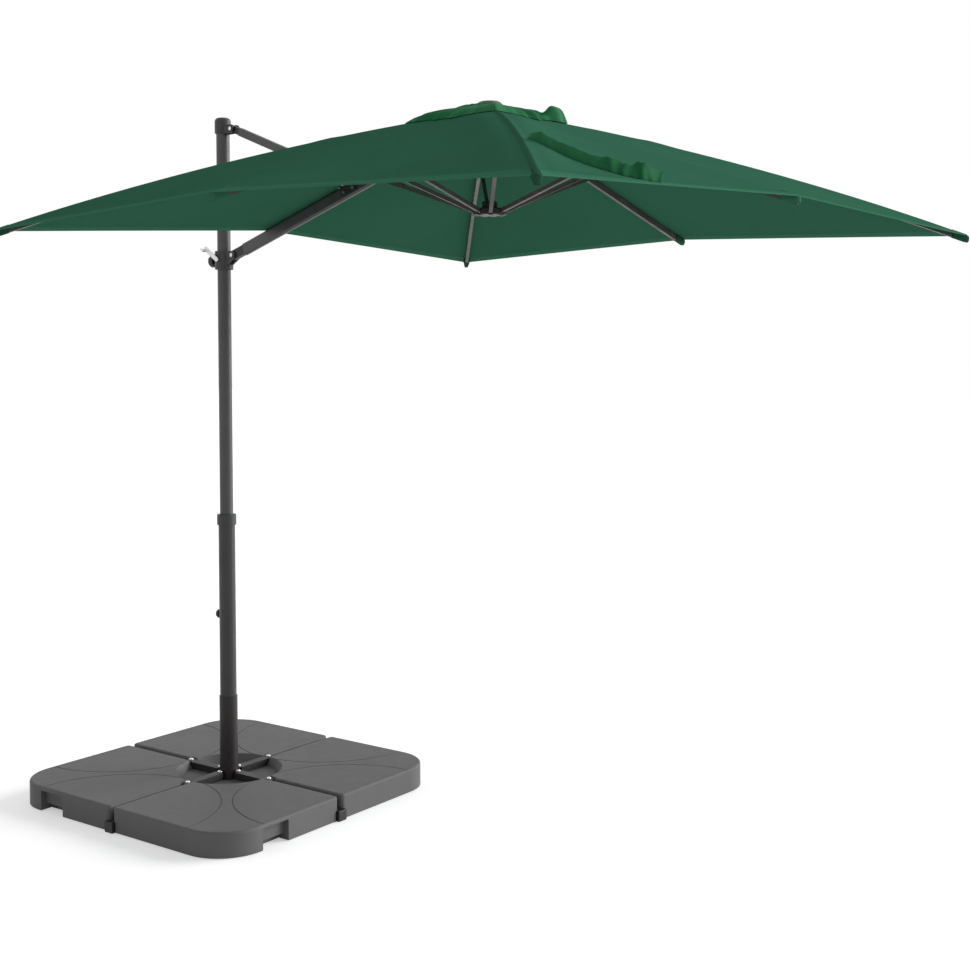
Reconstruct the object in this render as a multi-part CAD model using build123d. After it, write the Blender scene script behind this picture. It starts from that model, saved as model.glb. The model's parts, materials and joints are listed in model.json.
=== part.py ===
from build123d import *
import os
from math import acos, atan2, cos, degrees, hypot, radians, sin, tan

# A cantilever patio umbrella: a square cloth canopy hung from a folding boom beside its mast, on a
# steel cross weighed down by four filled tanks. Millimetres, +Z up, origin on the mast axis at the
# ground, +X from the mast towards the canopy. The open umbrella is the rest pose.

# Clearances
PIN_FIT = 0.1
SLEEVE_FIT = 0.3
SEAT_FIT = 0.1
SIDE_PLAY = 0.75
CLOTH_GAP = 3.0

# Base
BASE_TURN = 5.5
TANK_HALF = 550.0
TANK_LIFT = 2.0
TANK_HEIGHT = 86.0
TANK_CORNER = 160.0
TANK_SMALL_CORNER = 14.0
TANK_EDGE = 9.0
TANK_GAP = 20.0
TANK_CLEARANCE = 3.0
DISH_RADIUS = 195.0
DISH_SLOPE = 20.0
CREASE_RADIUS = 370.0
CREASE_WIDTH = 4.0
CREASE_DEPTH = 2.0
HANDLE_LENGTH = 120.0
HANDLE_DEPTH = 22.0
HANDLE_TOP = 74.0
HANDLE_ROUND = 5.0
HANDLE_PLACE = 318.0
FINGER_DEPTH = 46.0
FINGER_HEIGHT = 22.0
PLUG_RADIUS = 8.0
PLUG_LENGTH = 8.0
PLUG_SHANK = 20.0
PLUG_OFFSET = 38.0
PLUG_SEAT = 2.5
LEG_WIDTH = 40.0
LEG_HEIGHT = 30.0
LEG_WALL = 2.5
LEG_REACH = 548.0
FOOT_HEIGHT = 8.0
FOOT_LENGTH = 46.0
END_CAP = 14.0
CAP_ROUND = 3.0
CENTRE_PAD_RADIUS = 45.0
PLATE_RADIUS = 46.0
PLATE_THICKNESS = 20.0
ARM_WIDTH = 36.0
ARM_HEIGHT = 26.0
ARM_WALL = 4.0
ARM_REACH = 218.0
ARM_MOUTH = 16.0
ARM_CLEARANCE = 1.0
BOLT_RADIUS = 5.0
BOLT_HEAD_RADIUS = 8.5
BOLT_HEAD = 6.0
BOLT_ROUND = 3.0
INNER_BOLT_PLACE = 47.0
OUTER_BOLT_PLACE = 204.0

# Mast
UPPER_RADIUS = 24.0
UPPER_WALL = 2.0
LOWER_RADIUS = 30.0
LOWER_WALL = 2.0
SOCKET_WALL = 3.0
SOCKET_TOP = 362.0
SOCKET_FOOT_RADIUS = 36.0
SOCKET_FOOT_HEIGHT = 90.0
LOWER_BOTTOM = 60.0
LOWER_TOP = 1028.0
UPPER_BOTTOM = 600.0
UPPER_TOP = 2452.0
COLLAR_RADIUS = 35.0
COLLAR_HEIGHT = 38.0
COLLAR_LIP = 6.0
COLLAR_ROUND = 1.5
BUSH_HEIGHT = 60.0
BUSH_FLOOR = 10.0
MAST_KNOB_Z = 661.0
MAST_KNOB_RADIUS = 16.5
MAST_KNOB_LENGTH = 14.0
STUD_RADIUS = 4.0
BOSS_RADIUS = 9.0
BOSS_LENGTH = 6.0
KNOB_FLUTES = 8
FLUTE_RADIUS = 4.0
FLUTE_DEPTH = 2.0
KNOB_ROUND = 2.5

# Linkage: the pins A (mast head) and S (slider) lie on one vertical, and the saddle pin C is level
# with the middle between them, so S runs straight along the mast as the boom folds up.
PIVOT_OFFSET = 62.0
HEAD_PIN_DROP = 24.0
PIN_SPAN = 451.0
LINK_REACH = 600.0
FOLD_ANGLE = 65.0
TONGUE = 18.0
EAR = 6.0
EAR_RADIUS = 15.0
HINGE_PIN_RADIUS = 5.0
HINGE_PIN_HEAD = 2.5
PIN_HEAD_RIM = 2.0

# Mast head and slider
HEAD_RADIUS = 29.0
HEAD_HEIGHT = 56.0
HEAD_ROOF = 21.0
HEAD_ROUND = 14.0
SLIDER_RADIUS = 33.0
SLIDER_BELOW = 50.0
SLIDER_ABOVE = 17.0
SLIDER_WEB_DROP = 35.0
SLIDER_EDGE = 3.0
LINER_WALL = 2.7
SLIDER_KNOB_DROP = 17.0
SLIDER_KNOB_RADIUS = 23.0
SLIDER_KNOB_LENGTH = 22.0
SLIDER_KNOB_NECK = 11.0
LEVER_LENGTH = 74.0
LEVER_WIDTH = 17.0
LEVER_THICKNESS = 4.0
LEVER_RISE = 33.0
LEVER_X = 6.0
LEVER_DROP = 14.0
LEVER_PIN_RADIUS = 4.0
LEVER_PAD = 9.0

# Link bar and boom
LINK_HEIGHT = 28.0
LINK_WALL = 2.0
LINK_EYE = 12.0
LINK_PLUG = 46.0
LINK_START = 42.0
BOOM_WIDTH = 20.0
BOOM_HEIGHT = 44.0
BOOM_ROUND = 8.0
BOOM_WALL = 2.5
BOOM_ROOT = 62.0
BOOM_PLUG = 50.0
BOOM_TIP = 78.0
ROOT_EYE = 17.0
SADDLE_LENGTH = 74.0
SADDLE_PLATE = 4.0
SADDLE_EAR = 11.0
SADDLE_DEPTH = 12.0
RIVET_RADIUS = 3.5
RIVET_PITCH = 44.0

# Canopy frame
CANOPY_HALF = 1050.0
HUB_X = 1285.0
HUB_DROP = 85.0
RIB_PIN_RING = 42.0
RIB_WIDTH = 12.0
RIB_HEIGHT = 18.0
RIB_WALL = 1.5
RIB_EYE = 9.0
RIB_ROOT = 16.0
RIB_PIN_RADIUS = 2.5
HUB_PIN_BITE = 2.2
TIP_CAP = 16.0
MID_SLOPE = 17.82
CORNER_EXTRA_DROP = 40.0
CORNER_BOW_HEIGHT = 30.0
HUB_RADIUS = 52.0
HUB_BELOW = 11.0
HUB_ABOVE = 7.0
HUB_PLATE_RADIUS = 38.0
HUB_PLATE_BOTTOM = 10.0
HUB_PLATE_TOP = 21.0
HUB_POST_RADIUS = 12.0
HUB_CORE = 29.0
FINIAL_RADIUS = 40.0
FINIAL_HEIGHT = 20.0
FINIAL_ROUND = 15.0
FINIAL_LIFT = 24.0
STRUT_SPAN = 470.0
CORNER_STRUT_REACH = 446.0
STRUT_WIDTH = 12.0
STRUT_HEIGHT = 12.0
STRUT_PLATE = 2.5
STRUT_FORK = 84.0
BOOM_STRUT_FORK = 130.0
STRUT_END = 8.0
RUNNER_RADIUS = 52.0
RUNNER_CORE = 31.0
RUNNER_HEIGHT = 20.0
RUNNER_CROWN = 22.0
RUNNER_CROWN_RADIUS = 24.0
RUNNER_ROUND = 3.3
CROWN_ROUND = 5.5

# Cloth
CLOTH = 1.6
CLOTH_ROWS = 7
CLOTH_INNER = 44.0
SEAM_GAP = 0.6
SLIT_LENGTH = 96.0
SLIT_WIDTH = 36.0
FLAP_REACH = 183.0
FLAP_LIFT = 12.0
STRAP_RIM_GAP = 13.0
STRAP_INSET = 455.0
STRAP_LENGTH = 307.0
STRAP_TURN = 25.6
STRAP_BOW = 62.0
STRAP_SPREAD = 28.0
STRAP_STAND = 22.0
STRAP_THICKNESS = 4.0
STRAP_LIFT = 8.0

# Worked-out places
LEG_TOP = FOOT_HEIGHT + LEG_HEIGHT
DISH_FLOOR = LEG_TOP + PLATE_THICKNESS
TANK_TOP = TANK_LIFT + TANK_HEIGHT
ARM_TOP = DISH_FLOOR + ARM_HEIGHT
HEAD_TOP = UPPER_TOP + HEAD_ROOF
HEAD_PIN_Z = UPPER_TOP - HEAD_PIN_DROP
SLIDER_PIN_Z = HEAD_PIN_Z - PIN_SPAN
RIB_PIN_Z = HEAD_PIN_Z - HUB_DROP
CANOPY_EDGE_RIB = CANOPY_HALF - RIB_PIN_RING
CANOPY_CORNER_RIB = CANOPY_HALF * 2 ** 0.5 - RIB_PIN_RING
SADDLE_X = PIVOT_OFFSET + LINK_REACH
SADDLE_Z = (HEAD_PIN_Z + SLIDER_PIN_Z) / 2
LINK_LENGTH = hypot(LINK_REACH, HEAD_PIN_Z - SADDLE_Z)
LINK_SLOPE = degrees(atan2(HEAD_PIN_Z - SADDLE_Z, LINK_REACH))
BOOM_END_X = HUB_X - RIB_PIN_RING
BOOM_LENGTH = hypot(BOOM_END_X - PIVOT_OFFSET, RIB_PIN_Z - SLIDER_PIN_Z)
BOOM_SLOPE = degrees(atan2(RIB_PIN_Z - SLIDER_PIN_Z, BOOM_END_X - PIVOT_OFFSET))
SADDLE_ALONG = LINK_LENGTH * cos(radians(LINK_SLOPE - BOOM_SLOPE))
SADDLE_RISE = LINK_LENGTH * sin(radians(LINK_SLOPE - BOOM_SLOPE))
MID_DROP = CANOPY_EDGE_RIB * tan(radians(MID_SLOPE))
CORNER_DROP = MID_DROP + CORNER_EXTRA_DROP
RUNNER_DROP = 2 * STRUT_SPAN * sin(radians(MID_SLOPE))
RUNNER_DROP_SHUT = 2 * STRUT_SPAN * sin(radians(MID_SLOPE + FOLD_ANGLE))
RUNNER_PIN_Z = RIB_PIN_Z - RUNNER_DROP
HUB_PIN_LENGTH = RIB_WIDTH + 2 * SIDE_PLAY + 2 * HUB_PIN_BITE

# Quarter turns of the base, and ribs by name and azimuth; the boom takes the place of a rib at 180.
QUARTERS = (0, 90, 180, 270)
SPOKE_PITCH = 45
SPOKES = range(0, 360, SPOKE_PITCH)
MID_RIBS = {"outer": 0, "back": 90, "front": 270}
CORNER_RIBS = {"outer_back": 45, "mast_back": 135, "mast_front": 225, "outer_front": 315}


def corner_line(reach):
    """Height of a bowed corner rib's middle line, at a distance out from its pin."""
    share = reach / CANOPY_CORNER_RIB
    return -CORNER_DROP * share + 4 * CORNER_BOW_HEIGHT * share * (1 - share)


def mid_line(reach):
    """Height of a straight mid-side rib's middle line, at a distance out from its pin."""
    return -MID_DROP * reach / CANOPY_EDGE_RIB


# Corner struts: their span from the rib pin, and the turns that take both ends to the shut runner.
CORNER_SPAN = hypot(CORNER_STRUT_REACH, corner_line(CORNER_STRUT_REACH))
CORNER_TILT = degrees(atan2(CORNER_STRUT_REACH, -corner_line(CORNER_STRUT_REACH)))
CORNER_STRUT = (
    CORNER_SPAN**2 + RUNNER_DROP**2 - 2 * CORNER_SPAN * RUNNER_DROP * cos(radians(CORNER_TILT))
) ** 0.5
CORNER_TILT_SHUT = degrees(
    acos(
        (CORNER_SPAN**2 + RUNNER_DROP_SHUT**2 - CORNER_STRUT**2)
        / (2 * CORNER_SPAN * RUNNER_DROP_SHUT)
    )
)


def strut_corner(drop):
    """Angle between a corner rib and its strut when the runner hangs at this depth."""
    span_squares = CORNER_SPAN**2 + CORNER_STRUT**2
    return degrees(acos((span_squares - drop**2) / (2 * CORNER_SPAN * CORNER_STRUT)))


CORNER_RIB_TURN = CORNER_TILT - CORNER_TILT_SHUT
CORNER_STRUT_TURN = strut_corner(RUNNER_DROP_SHUT) - strut_corner(RUNNER_DROP)


def bar(length, width, height, corner=0.0):
    """A bar along +X from the origin, centred on its axis."""
    section = RectangleRounded(width, height, corner) if corner else Rectangle(width, height)
    return extrude(Plane.YZ * section, length)


def rod(radius, length):
    """A round rod along Y, centred on the origin."""
    return Rot(90, 0, 0) * Cylinder(radius, length)


def peg(radius, length):
    """A round peg standing on the origin, along +Z."""
    return Cylinder(radius, length, align=(Align.CENTER, Align.CENTER, Align.MIN))


def upright(outer, inner, bottom, top):
    """A tube on the mast axis."""
    return Pos(0, 0, bottom) * extrude(Circle(outer) - Circle(inner), top - bottom)


def headed_pin(radius, length):
    """A hinge pin along Y with a low head at each end."""
    pin = rod(radius, length)
    for side in (-1, 1):
        middle = side * (length + HINGE_PIN_HEAD) / 2
        pin += Pos(0, middle, 0) * rod(radius + PIN_HEAD_RIM, HINGE_PIN_HEAD)
    return pin


def along(origin_x, origin_z, slope, shape):
    """Set a shape made along +X at a point of the fold plane, with its +X end raised by slope."""
    return Pos(origin_x, 0, origin_z) * Rot(0, -slope, 0) * shape


def at_rib(azimuth, shape):
    """Set a shape made about a rib's pin, with +X outward, at that rib's place on the hub."""
    return Pos(HUB_X, 0, RIB_PIN_Z) * Rot(0, 0, azimuth) * Pos(RIB_PIN_RING, 0, 0) * shape


def group(shapes):
    """Separate solids that share one node."""
    return Compound([solid for shape in shapes for solid in shape.solids()])


def save(name, shape):
    """Write one node."""
    export_step(shape, os.path.join("parts", name + ".step"))


def turned(shape):
    """Turn a base piece about the mast axis."""
    return Rot(0, 0, BASE_TURN) * shape


# Base pieces
def make_legs():
    """The two crossing legs: one whole tube, and two halves welded to its sides."""
    hollow = bar(LEG_REACH * 2, LEG_WIDTH - 2 * LEG_WALL, LEG_HEIGHT - 2 * LEG_WALL)
    whole = bar(LEG_REACH * 2, LEG_WIDTH, LEG_HEIGHT) - hollow
    middle = FOOT_HEIGHT + LEG_HEIGHT / 2
    leg_x = Pos(-LEG_REACH, 0, middle) * whole
    half_length = LEG_REACH - LEG_WIDTH / 2
    half = bar(half_length, LEG_WIDTH, LEG_HEIGHT)
    half -= bar(half_length, LEG_WIDTH - 2 * LEG_WALL, LEG_HEIGHT - 2 * LEG_WALL)
    halves = []
    for side in (90, 270):
        halves.append(Rot(0, 0, side) * Pos(LEG_WIDTH / 2, 0, middle) * half)
    holes = bolt_holes()
    return turned(leg_x - holes), turned(group(halves) - holes)


def bolt_holes():
    """Holes for the bolts that clamp the arms to the legs."""
    holes = Part()
    hole = peg(BOLT_RADIUS + PIN_FIT, ARM_TOP)
    for turn in QUARTERS:
        for place in (INNER_BOLT_PLACE, OUTER_BOLT_PLACE):
            holes += Rot(0, 0, turn) * Pos(place, 0, 0) * hole
    return holes


def make_leg_feet():
    """A moulded end cap with a rounded foot on each leg, and a pad under the middle."""
    cap = Pos(LEG_REACH, 0, LEG_TOP / 2) * bar(END_CAP, LEG_WIDTH, LEG_TOP, CAP_ROUND)
    foot = Pos(LEG_REACH - FOOT_LENGTH, 0, FOOT_HEIGHT / 2) * bar(FOOT_LENGTH, LEG_WIDTH, FOOT_HEIGHT)
    piece = cap + foot
    round_edges = piece.edges().filter_by(Axis.Y).group_by(Axis.X)[-1]
    piece = fillet(round_edges, CAP_ROUND)
    feet = [Rot(0, 0, turn) * piece for turn in QUARTERS]
    pad = peg(CENTRE_PAD_RADIUS, FOOT_HEIGHT)
    bore = Part()
    hole = peg(BOLT_HEAD_RADIUS, FOOT_HEIGHT)
    for turn in QUARTERS:
        bore += Rot(0, 0, turn) * Pos(INNER_BOLT_PLACE, 0, 0) * hole
    return turned(group(feet + [pad - bore]))


def make_tank():
    """One filled tank in the +X +Y quarter: moulded skin with its filling, as one solid."""
    low = TANK_GAP / 2
    side = TANK_HALF - low
    centre = low + side / 2
    outline = Pos(centre, centre) * Rectangle(side, side)
    diagonal = Axis((0, 0, 0), (1, 1, 0))
    outline = fillet(outline.vertices().sort_by(diagonal)[-1], TANK_CORNER)
    outline = fillet(outline.vertices().sort_by_distance((0, 0, 0))[:3], TANK_SMALL_CORNER)
    tank = Pos(0, 0, TANK_LIFT) * extrude(outline, TANK_HEIGHT)
    tank = fillet(tank.faces().sort_by(Axis.Z)[-1].edges(), TANK_EDGE)
    channel_width = LEG_WIDTH + 2 * TANK_CLEARANCE
    channel = Pos(0, 0, LEG_TOP / 2) * bar(TANK_HALF * 2, channel_width, LEG_TOP)
    tank -= channel
    tank -= Rot(0, 0, 90) * channel
    well = peg(PLATE_RADIUS + TANK_CLEARANCE, TANK_TOP)
    tank -= well
    dish_depth = TANK_TOP - DISH_FLOOR
    dish = Cone(DISH_RADIUS - DISH_SLOPE, DISH_RADIUS, dish_depth)
    tank -= Pos(0, 0, DISH_FLOOR + dish_depth / 2) * dish
    slot_length = ARM_REACH + TANK_CLEARANCE
    slot = bar(slot_length, ARM_WIDTH + 2 * TANK_CLEARANCE, TANK_HEIGHT)
    slot = Pos(0, 0, DISH_FLOOR + TANK_HEIGHT / 2) * slot
    tank -= slot
    tank -= Rot(0, 0, 90) * slot
    hole = peg(BOLT_RADIUS + TANK_CLEARANCE, TANK_TOP)
    tank -= Pos(OUTER_BOLT_PLACE, 0, 0) * hole
    tank -= Pos(0, OUTER_BOLT_PLACE, 0) * hole
    groove_bottom = TANK_TOP - CREASE_DEPTH
    crease_inner = CREASE_RADIUS - CREASE_WIDTH / 2
    ring = upright(crease_inner + CREASE_WIDTH, crease_inner, groove_bottom, TANK_TOP)
    tank -= Pos(TANK_HALF, 0, 0) * ring
    tank -= Pos(0, TANK_HALF, 0) * ring
    recess = Pos(0, 0, HANDLE_TOP / 2) * Box(HANDLE_LENGTH, HANDLE_DEPTH * 2, HANDLE_TOP)
    recess = fillet(recess.edges().filter_by(Axis.Y).group_by(Axis.Z)[-1], HANDLE_ROUND)
    gap_top = TANK_LIFT + FINGER_HEIGHT
    recess += Pos(0, 0, gap_top / 2) * Box(HANDLE_LENGTH, FINGER_DEPTH * 2, gap_top)
    tank -= Pos(HANDLE_PLACE, TANK_HALF, 0) * recess
    return tank - plug_place() * rod(PLUG_RADIUS - PLUG_SEAT, PLUG_SHANK * 2)


def plug_place():
    """The filler plug's seat: the back wall of the finger gap under a tank's hand recess."""
    return Pos(HANDLE_PLACE + PLUG_OFFSET, TANK_HALF - FINGER_DEPTH, TANK_LIFT + FINGER_HEIGHT / 2)


def make_tank_plug():
    """The filler plug in a tank's finger gap."""
    head = peg(PLUG_RADIUS, PLUG_LENGTH)
    shank_length = PLUG_SHANK - SEAT_FIT
    shank = Pos(0, 0, -shank_length) * peg(PLUG_RADIUS - PLUG_SEAT - SEAT_FIT, shank_length)
    return plug_place() * Rot(-90, 0, 0) * (head + shank)


def make_arms():
    """Four channels that clamp the tanks between the dish and the legs."""
    start = SOCKET_FOOT_RADIUS + ARM_CLEARANCE
    arm = bar(ARM_REACH - start, ARM_WIDTH, ARM_HEIGHT)
    inside = bar(ARM_REACH - start, ARM_WIDTH - 2 * ARM_WALL, ARM_HEIGHT)
    arm -= Pos(0, 0, -ARM_WALL) * inside
    chamfer_cut = Rot(0, 0, 45) * Box(ARM_MOUTH, ARM_MOUTH, ARM_HEIGHT)
    for side in (-1, 1):
        arm -= Pos(0, side * ARM_WIDTH / 2, 0) * chamfer_cut
    arms = []
    for turn in QUARTERS:
        arms.append(Rot(0, 0, turn) * Pos(start, 0, DISH_FLOOR + ARM_HEIGHT / 2) * arm)
    return turned(group(arms) - bolt_holes())


def make_arm_bolts():
    """Eight bolts through the arms and the legs, each with its nut under the leg."""
    shank_length = ARM_TOP - FOOT_HEIGHT
    bolt = peg(BOLT_RADIUS, shank_length)
    head = peg(BOLT_HEAD_RADIUS, BOLT_HEAD)
    head = fillet(head.edges().sort_by(Axis.Z)[-1], BOLT_ROUND)
    bolt = Pos(0, 0, FOOT_HEIGHT) * bolt + Pos(0, 0, ARM_TOP) * head
    nut = extrude(RegularPolygon(BOLT_HEAD_RADIUS, 6, major_radius=True), BOLT_HEAD)
    bolt += Pos(0, 0, FOOT_HEIGHT - BOLT_HEAD) * nut
    bolts = []
    for turn in QUARTERS:
        for place in (INNER_BOLT_PLACE, OUTER_BOLT_PLACE):
            bolts.append(Rot(0, 0, turn) * Pos(place, 0, 0) * bolt)
    return turned(group(bolts))


def make_foot_plate():
    """The thick plate on the crossing, which carries the mast socket."""
    plate = peg(PLATE_RADIUS, PLATE_THICKNESS)
    return turned(Pos(0, 0, LEG_TOP) * plate - bolt_holes())


# Mast pieces
def make_socket():
    """The socket tube on the foot plate, flared at its foot, which the lower mast tube stands in."""
    inner = LOWER_RADIUS + SEAT_FIT
    outer = inner + SOCKET_WALL
    flare = Pos(0, 0, SOCKET_FOOT_HEIGHT / 2) * Cone(SOCKET_FOOT_RADIUS, outer, SOCKET_FOOT_HEIGHT)
    socket = peg(outer, SOCKET_TOP - DISH_FLOOR) + flare
    return Pos(0, 0, DISH_FLOOR) * (socket - peg(inner, SOCKET_TOP - DISH_FLOOR))


def make_lower_tube():
    """The lower mast tube with the welded boss that the clamp knob screws into."""
    tube = upright(LOWER_RADIUS, LOWER_RADIUS - LOWER_WALL, LOWER_BOTTOM, LOWER_TOP)
    boss_start = LOWER_RADIUS - LOWER_WALL / 2
    boss = peg(BOSS_RADIUS, BOSS_LENGTH + LOWER_WALL / 2)
    tube += Pos(-boss_start, 0, MAST_KNOB_Z) * Rot(0, -90, 0) * boss
    bore = peg(STUD_RADIUS + PIN_FIT, LOWER_RADIUS * 2)
    return tube - Pos(0, 0, MAST_KNOB_Z) * Rot(0, -90, 0) * bore


def make_knob(radius, length, stud_length):
    """A lobed hand knob along +Z with its threaded stud running back along -Z."""
    knob = peg(radius, length)
    knob = fillet(knob.edges(), KNOB_ROUND)
    flute = Pos(radius + FLUTE_RADIUS - FLUTE_DEPTH, 0, 0) * peg(FLUTE_RADIUS, length)
    for turn in range(KNOB_FLUTES):
        knob -= Rot(0, 0, 360 / KNOB_FLUTES * turn) * flute
    return knob + Pos(0, 0, -stud_length) * peg(STUD_RADIUS, stud_length)


def make_collar():
    """The collar that caps the lower tube and steadies the upper one."""
    bottom = LOWER_TOP - COLLAR_HEIGHT + COLLAR_LIP
    bore = UPPER_RADIUS + SLEEVE_FIT
    collar = upright(COLLAR_RADIUS, LOWER_RADIUS + SEAT_FIT, bottom, LOWER_TOP)
    collar += upright(COLLAR_RADIUS, bore, LOWER_TOP, LOWER_TOP + COLLAR_LIP)
    collar += upright(LOWER_RADIUS - LOWER_WALL - SEAT_FIT, bore, bottom, LOWER_TOP)
    return fillet(collar.edges().filter_by(GeomType.CIRCLE).sort_by(Axis.Z)[-1:], COLLAR_ROUND)


def make_swivel_bush():
    """The cup in the lower tube that the upper mast turns in."""
    outer = LOWER_RADIUS - LOWER_WALL - SEAT_FIT
    floor = UPPER_BOTTOM - SLEEVE_FIT
    cup = upright(outer, UPPER_RADIUS + SLEEVE_FIT, floor, UPPER_BOTTOM + BUSH_HEIGHT)
    cup += Pos(0, 0, floor - BUSH_FLOOR) * extrude(Circle(outer), BUSH_FLOOR)
    bore = peg(STUD_RADIUS + PIN_FIT, LOWER_RADIUS * 2)
    return cup - Pos(0, 0, MAST_KNOB_Z) * Rot(0, -90, 0) * bore


def ear_pair(radius, reach, thickness, drop=0.0):
    """Two clevis ears round about the origin, on bars that start at -X and a drop below."""
    gap = TONGUE + 2 * SIDE_PLAY
    slope = degrees(atan2(drop, reach))
    ears = Part()
    for side in (-1, 1):
        middle = side * (gap + thickness) / 2
        ears += Pos(0, middle, 0) * rod(radius, thickness)
        stem = Rot(0, -slope, 0) * bar(hypot(reach, drop), thickness, radius * 2)
        ears += Pos(-reach, middle, -drop) * stem
    return ears


def make_mast_head():
    """The cap on the mast top, with the ears of the link's upper hinge."""
    bottom = HEAD_TOP - HEAD_HEIGHT
    cap = peg(HEAD_RADIUS, HEAD_HEIGHT)
    cap = fillet(cap.edges().sort_by(Axis.Z)[-1], HEAD_ROUND)
    head = Pos(0, 0, bottom) * cap
    head += Pos(PIVOT_OFFSET, 0, HEAD_PIN_Z) * ear_pair(EAR_RADIUS, PIVOT_OFFSET, EAR)
    bore_bottom = bottom - EAR_RADIUS
    head -= Pos(0, 0, bore_bottom) * peg(UPPER_RADIUS + SEAT_FIT, UPPER_TOP - bore_bottom)
    return head - Pos(PIVOT_OFFSET, 0, HEAD_PIN_Z) * rod(HINGE_PIN_RADIUS, HEAD_RADIUS * 2)


def make_slider_sleeve():
    """The sliding sleeve with its boom ears, knob boss and lever pad."""
    bottom = SLIDER_PIN_Z - SLIDER_BELOW
    top = SLIDER_PIN_Z + SLIDER_ABOVE
    bore = UPPER_RADIUS + SLEEVE_FIT + LINER_WALL + SEAT_FIT
    sleeve = Pos(0, 0, bottom) * extrude(Circle(SLIDER_RADIUS), top - bottom)
    sleeve = fillet(sleeve.edges(), SLIDER_EDGE)
    for drop in (0.0, SLIDER_WEB_DROP):
        sleeve += Pos(PIVOT_OFFSET, 0, SLIDER_PIN_Z) * ear_pair(EAR_RADIUS, PIVOT_OFFSET, EAR, drop)
    boss = peg(BOSS_RADIUS, SLIDER_RADIUS + BOSS_LENGTH)
    sleeve += Pos(0, 0, SLIDER_PIN_Z - SLIDER_KNOB_DROP) * Rot(0, -90, 0) * boss
    pad = peg(LEVER_PAD, SLIDER_RADIUS + BOSS_LENGTH / 2)
    sleeve += Pos(LEVER_X, 0, SLIDER_PIN_Z - LEVER_DROP) * Rot(90, 0, 0) * pad
    sleeve -= Pos(0, 0, bottom) * extrude(Circle(bore), top - bottom)
    sleeve -= Pos(PIVOT_OFFSET, 0, SLIDER_PIN_Z) * rod(HINGE_PIN_RADIUS, SLIDER_RADIUS * 2)
    stud = peg(STUD_RADIUS + PIN_FIT, SLIDER_RADIUS * 2)
    sleeve -= Pos(0, 0, SLIDER_PIN_Z - SLIDER_KNOB_DROP) * Rot(0, -90, 0) * stud
    pivot = peg(LEVER_PIN_RADIUS + PIN_FIT, SLIDER_RADIUS * 2)
    return sleeve - Pos(LEVER_X, 0, SLIDER_PIN_Z - LEVER_DROP) * Rot(90, 0, 0) * pivot


def make_slider_liner():
    """The plastic liner that runs on the mast, with a window for the knob's stud."""
    inner = UPPER_RADIUS + SLEEVE_FIT
    liner = upright(inner + LINER_WALL, inner, SLIDER_PIN_Z - SLIDER_BELOW, SLIDER_PIN_Z + SLIDER_ABOVE)
    window = peg(STUD_RADIUS + PIN_FIT, SLIDER_RADIUS * 2)
    return liner - Pos(0, 0, SLIDER_PIN_Z - SLIDER_KNOB_DROP) * Rot(0, -90, 0) * window


def make_lock_lever():
    """The bright lock lever on the slider's front, with its pivot pin."""
    face = SLIDER_RADIUS + BOSS_LENGTH / 2 + SIDE_PLAY
    blade = rod(LEVER_WIDTH / 2, LEVER_THICKNESS)
    blade += bar(LEVER_LENGTH, LEVER_THICKNESS, LEVER_WIDTH)
    blade += Pos(LEVER_LENGTH, 0, 0) * rod(LEVER_WIDTH / 2, LEVER_THICKNESS)
    tab = bar(LEVER_WIDTH, LEVER_WIDTH, LEVER_THICKNESS)
    tab_place = LEVER_LENGTH - LEVER_WIDTH / 2
    blade += Pos(tab_place, -LEVER_WIDTH / 2, LEVER_WIDTH / 2 - LEVER_THICKNESS / 2) * tab
    blade = Pos(0, -face - LEVER_THICKNESS / 2, 0) * Rot(0, 180 + LEVER_RISE, 0) * blade
    pin_start = UPPER_RADIUS + SLEEVE_FIT + LINER_WALL + SEAT_FIT
    pin_length = face - pin_start
    blade += Pos(0, -pin_start - pin_length / 2, 0) * rod(LEVER_PIN_RADIUS, pin_length)
    return Pos(LEVER_X, 0, SLIDER_PIN_Z - LEVER_DROP) * blade


# Link and boom pieces
def make_link():
    """The link bar: its tube, and its two end tongues plugged into it."""
    tube_length = LINK_LENGTH - 2 * LINK_START
    inner_width = TONGUE - 2 * LINK_WALL
    inner_height = LINK_HEIGHT - 2 * LINK_WALL
    tube = Pos(LINK_START, 0, 0) * bar(tube_length, TONGUE, LINK_HEIGHT, LINK_WALL)
    tube -= Pos(LINK_START, 0, 0) * bar(tube_length, inner_width, inner_height)
    tongue = rod(LINK_EYE, TONGUE) + bar(LINK_START, TONGUE, LINK_EYE * 2)
    tongue += bar(LINK_START + LINK_PLUG, inner_width - 2 * SEAT_FIT, inner_height - 2 * SEAT_FIT)
    tongue -= rod(HINGE_PIN_RADIUS + PIN_FIT, TONGUE)
    lower = Pos(LINK_LENGTH, 0, 0) * Rot(0, 180, 0) * tongue
    place = (PIVOT_OFFSET, HEAD_PIN_Z, -LINK_SLOPE)
    return along(*place, tube), along(*place, group([tongue, lower]))


def make_boom_tube():
    """The boom's oval tube, drilled for the saddle rivets and the strut pin."""
    length = BOOM_LENGTH - BOOM_ROOT - BOOM_TIP
    tube = bar(length, BOOM_WIDTH, BOOM_HEIGHT, BOOM_ROUND)
    tube -= bar(length, BOOM_WIDTH - 2 * BOOM_WALL, BOOM_HEIGHT - 2 * BOOM_WALL, BOOM_ROUND - BOOM_WALL)
    tube = Pos(BOOM_ROOT, 0, 0) * tube
    for side in (-1, 1):
        tube -= Pos(SADDLE_ALONG + side * RIVET_PITCH / 2, 0, 0) * rod(RIVET_RADIUS, BOOM_WIDTH)
    return along(PIVOT_OFFSET, SLIDER_PIN_Z, BOOM_SLOPE, tube) - boom_strut_pin(PIN_FIT)


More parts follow.
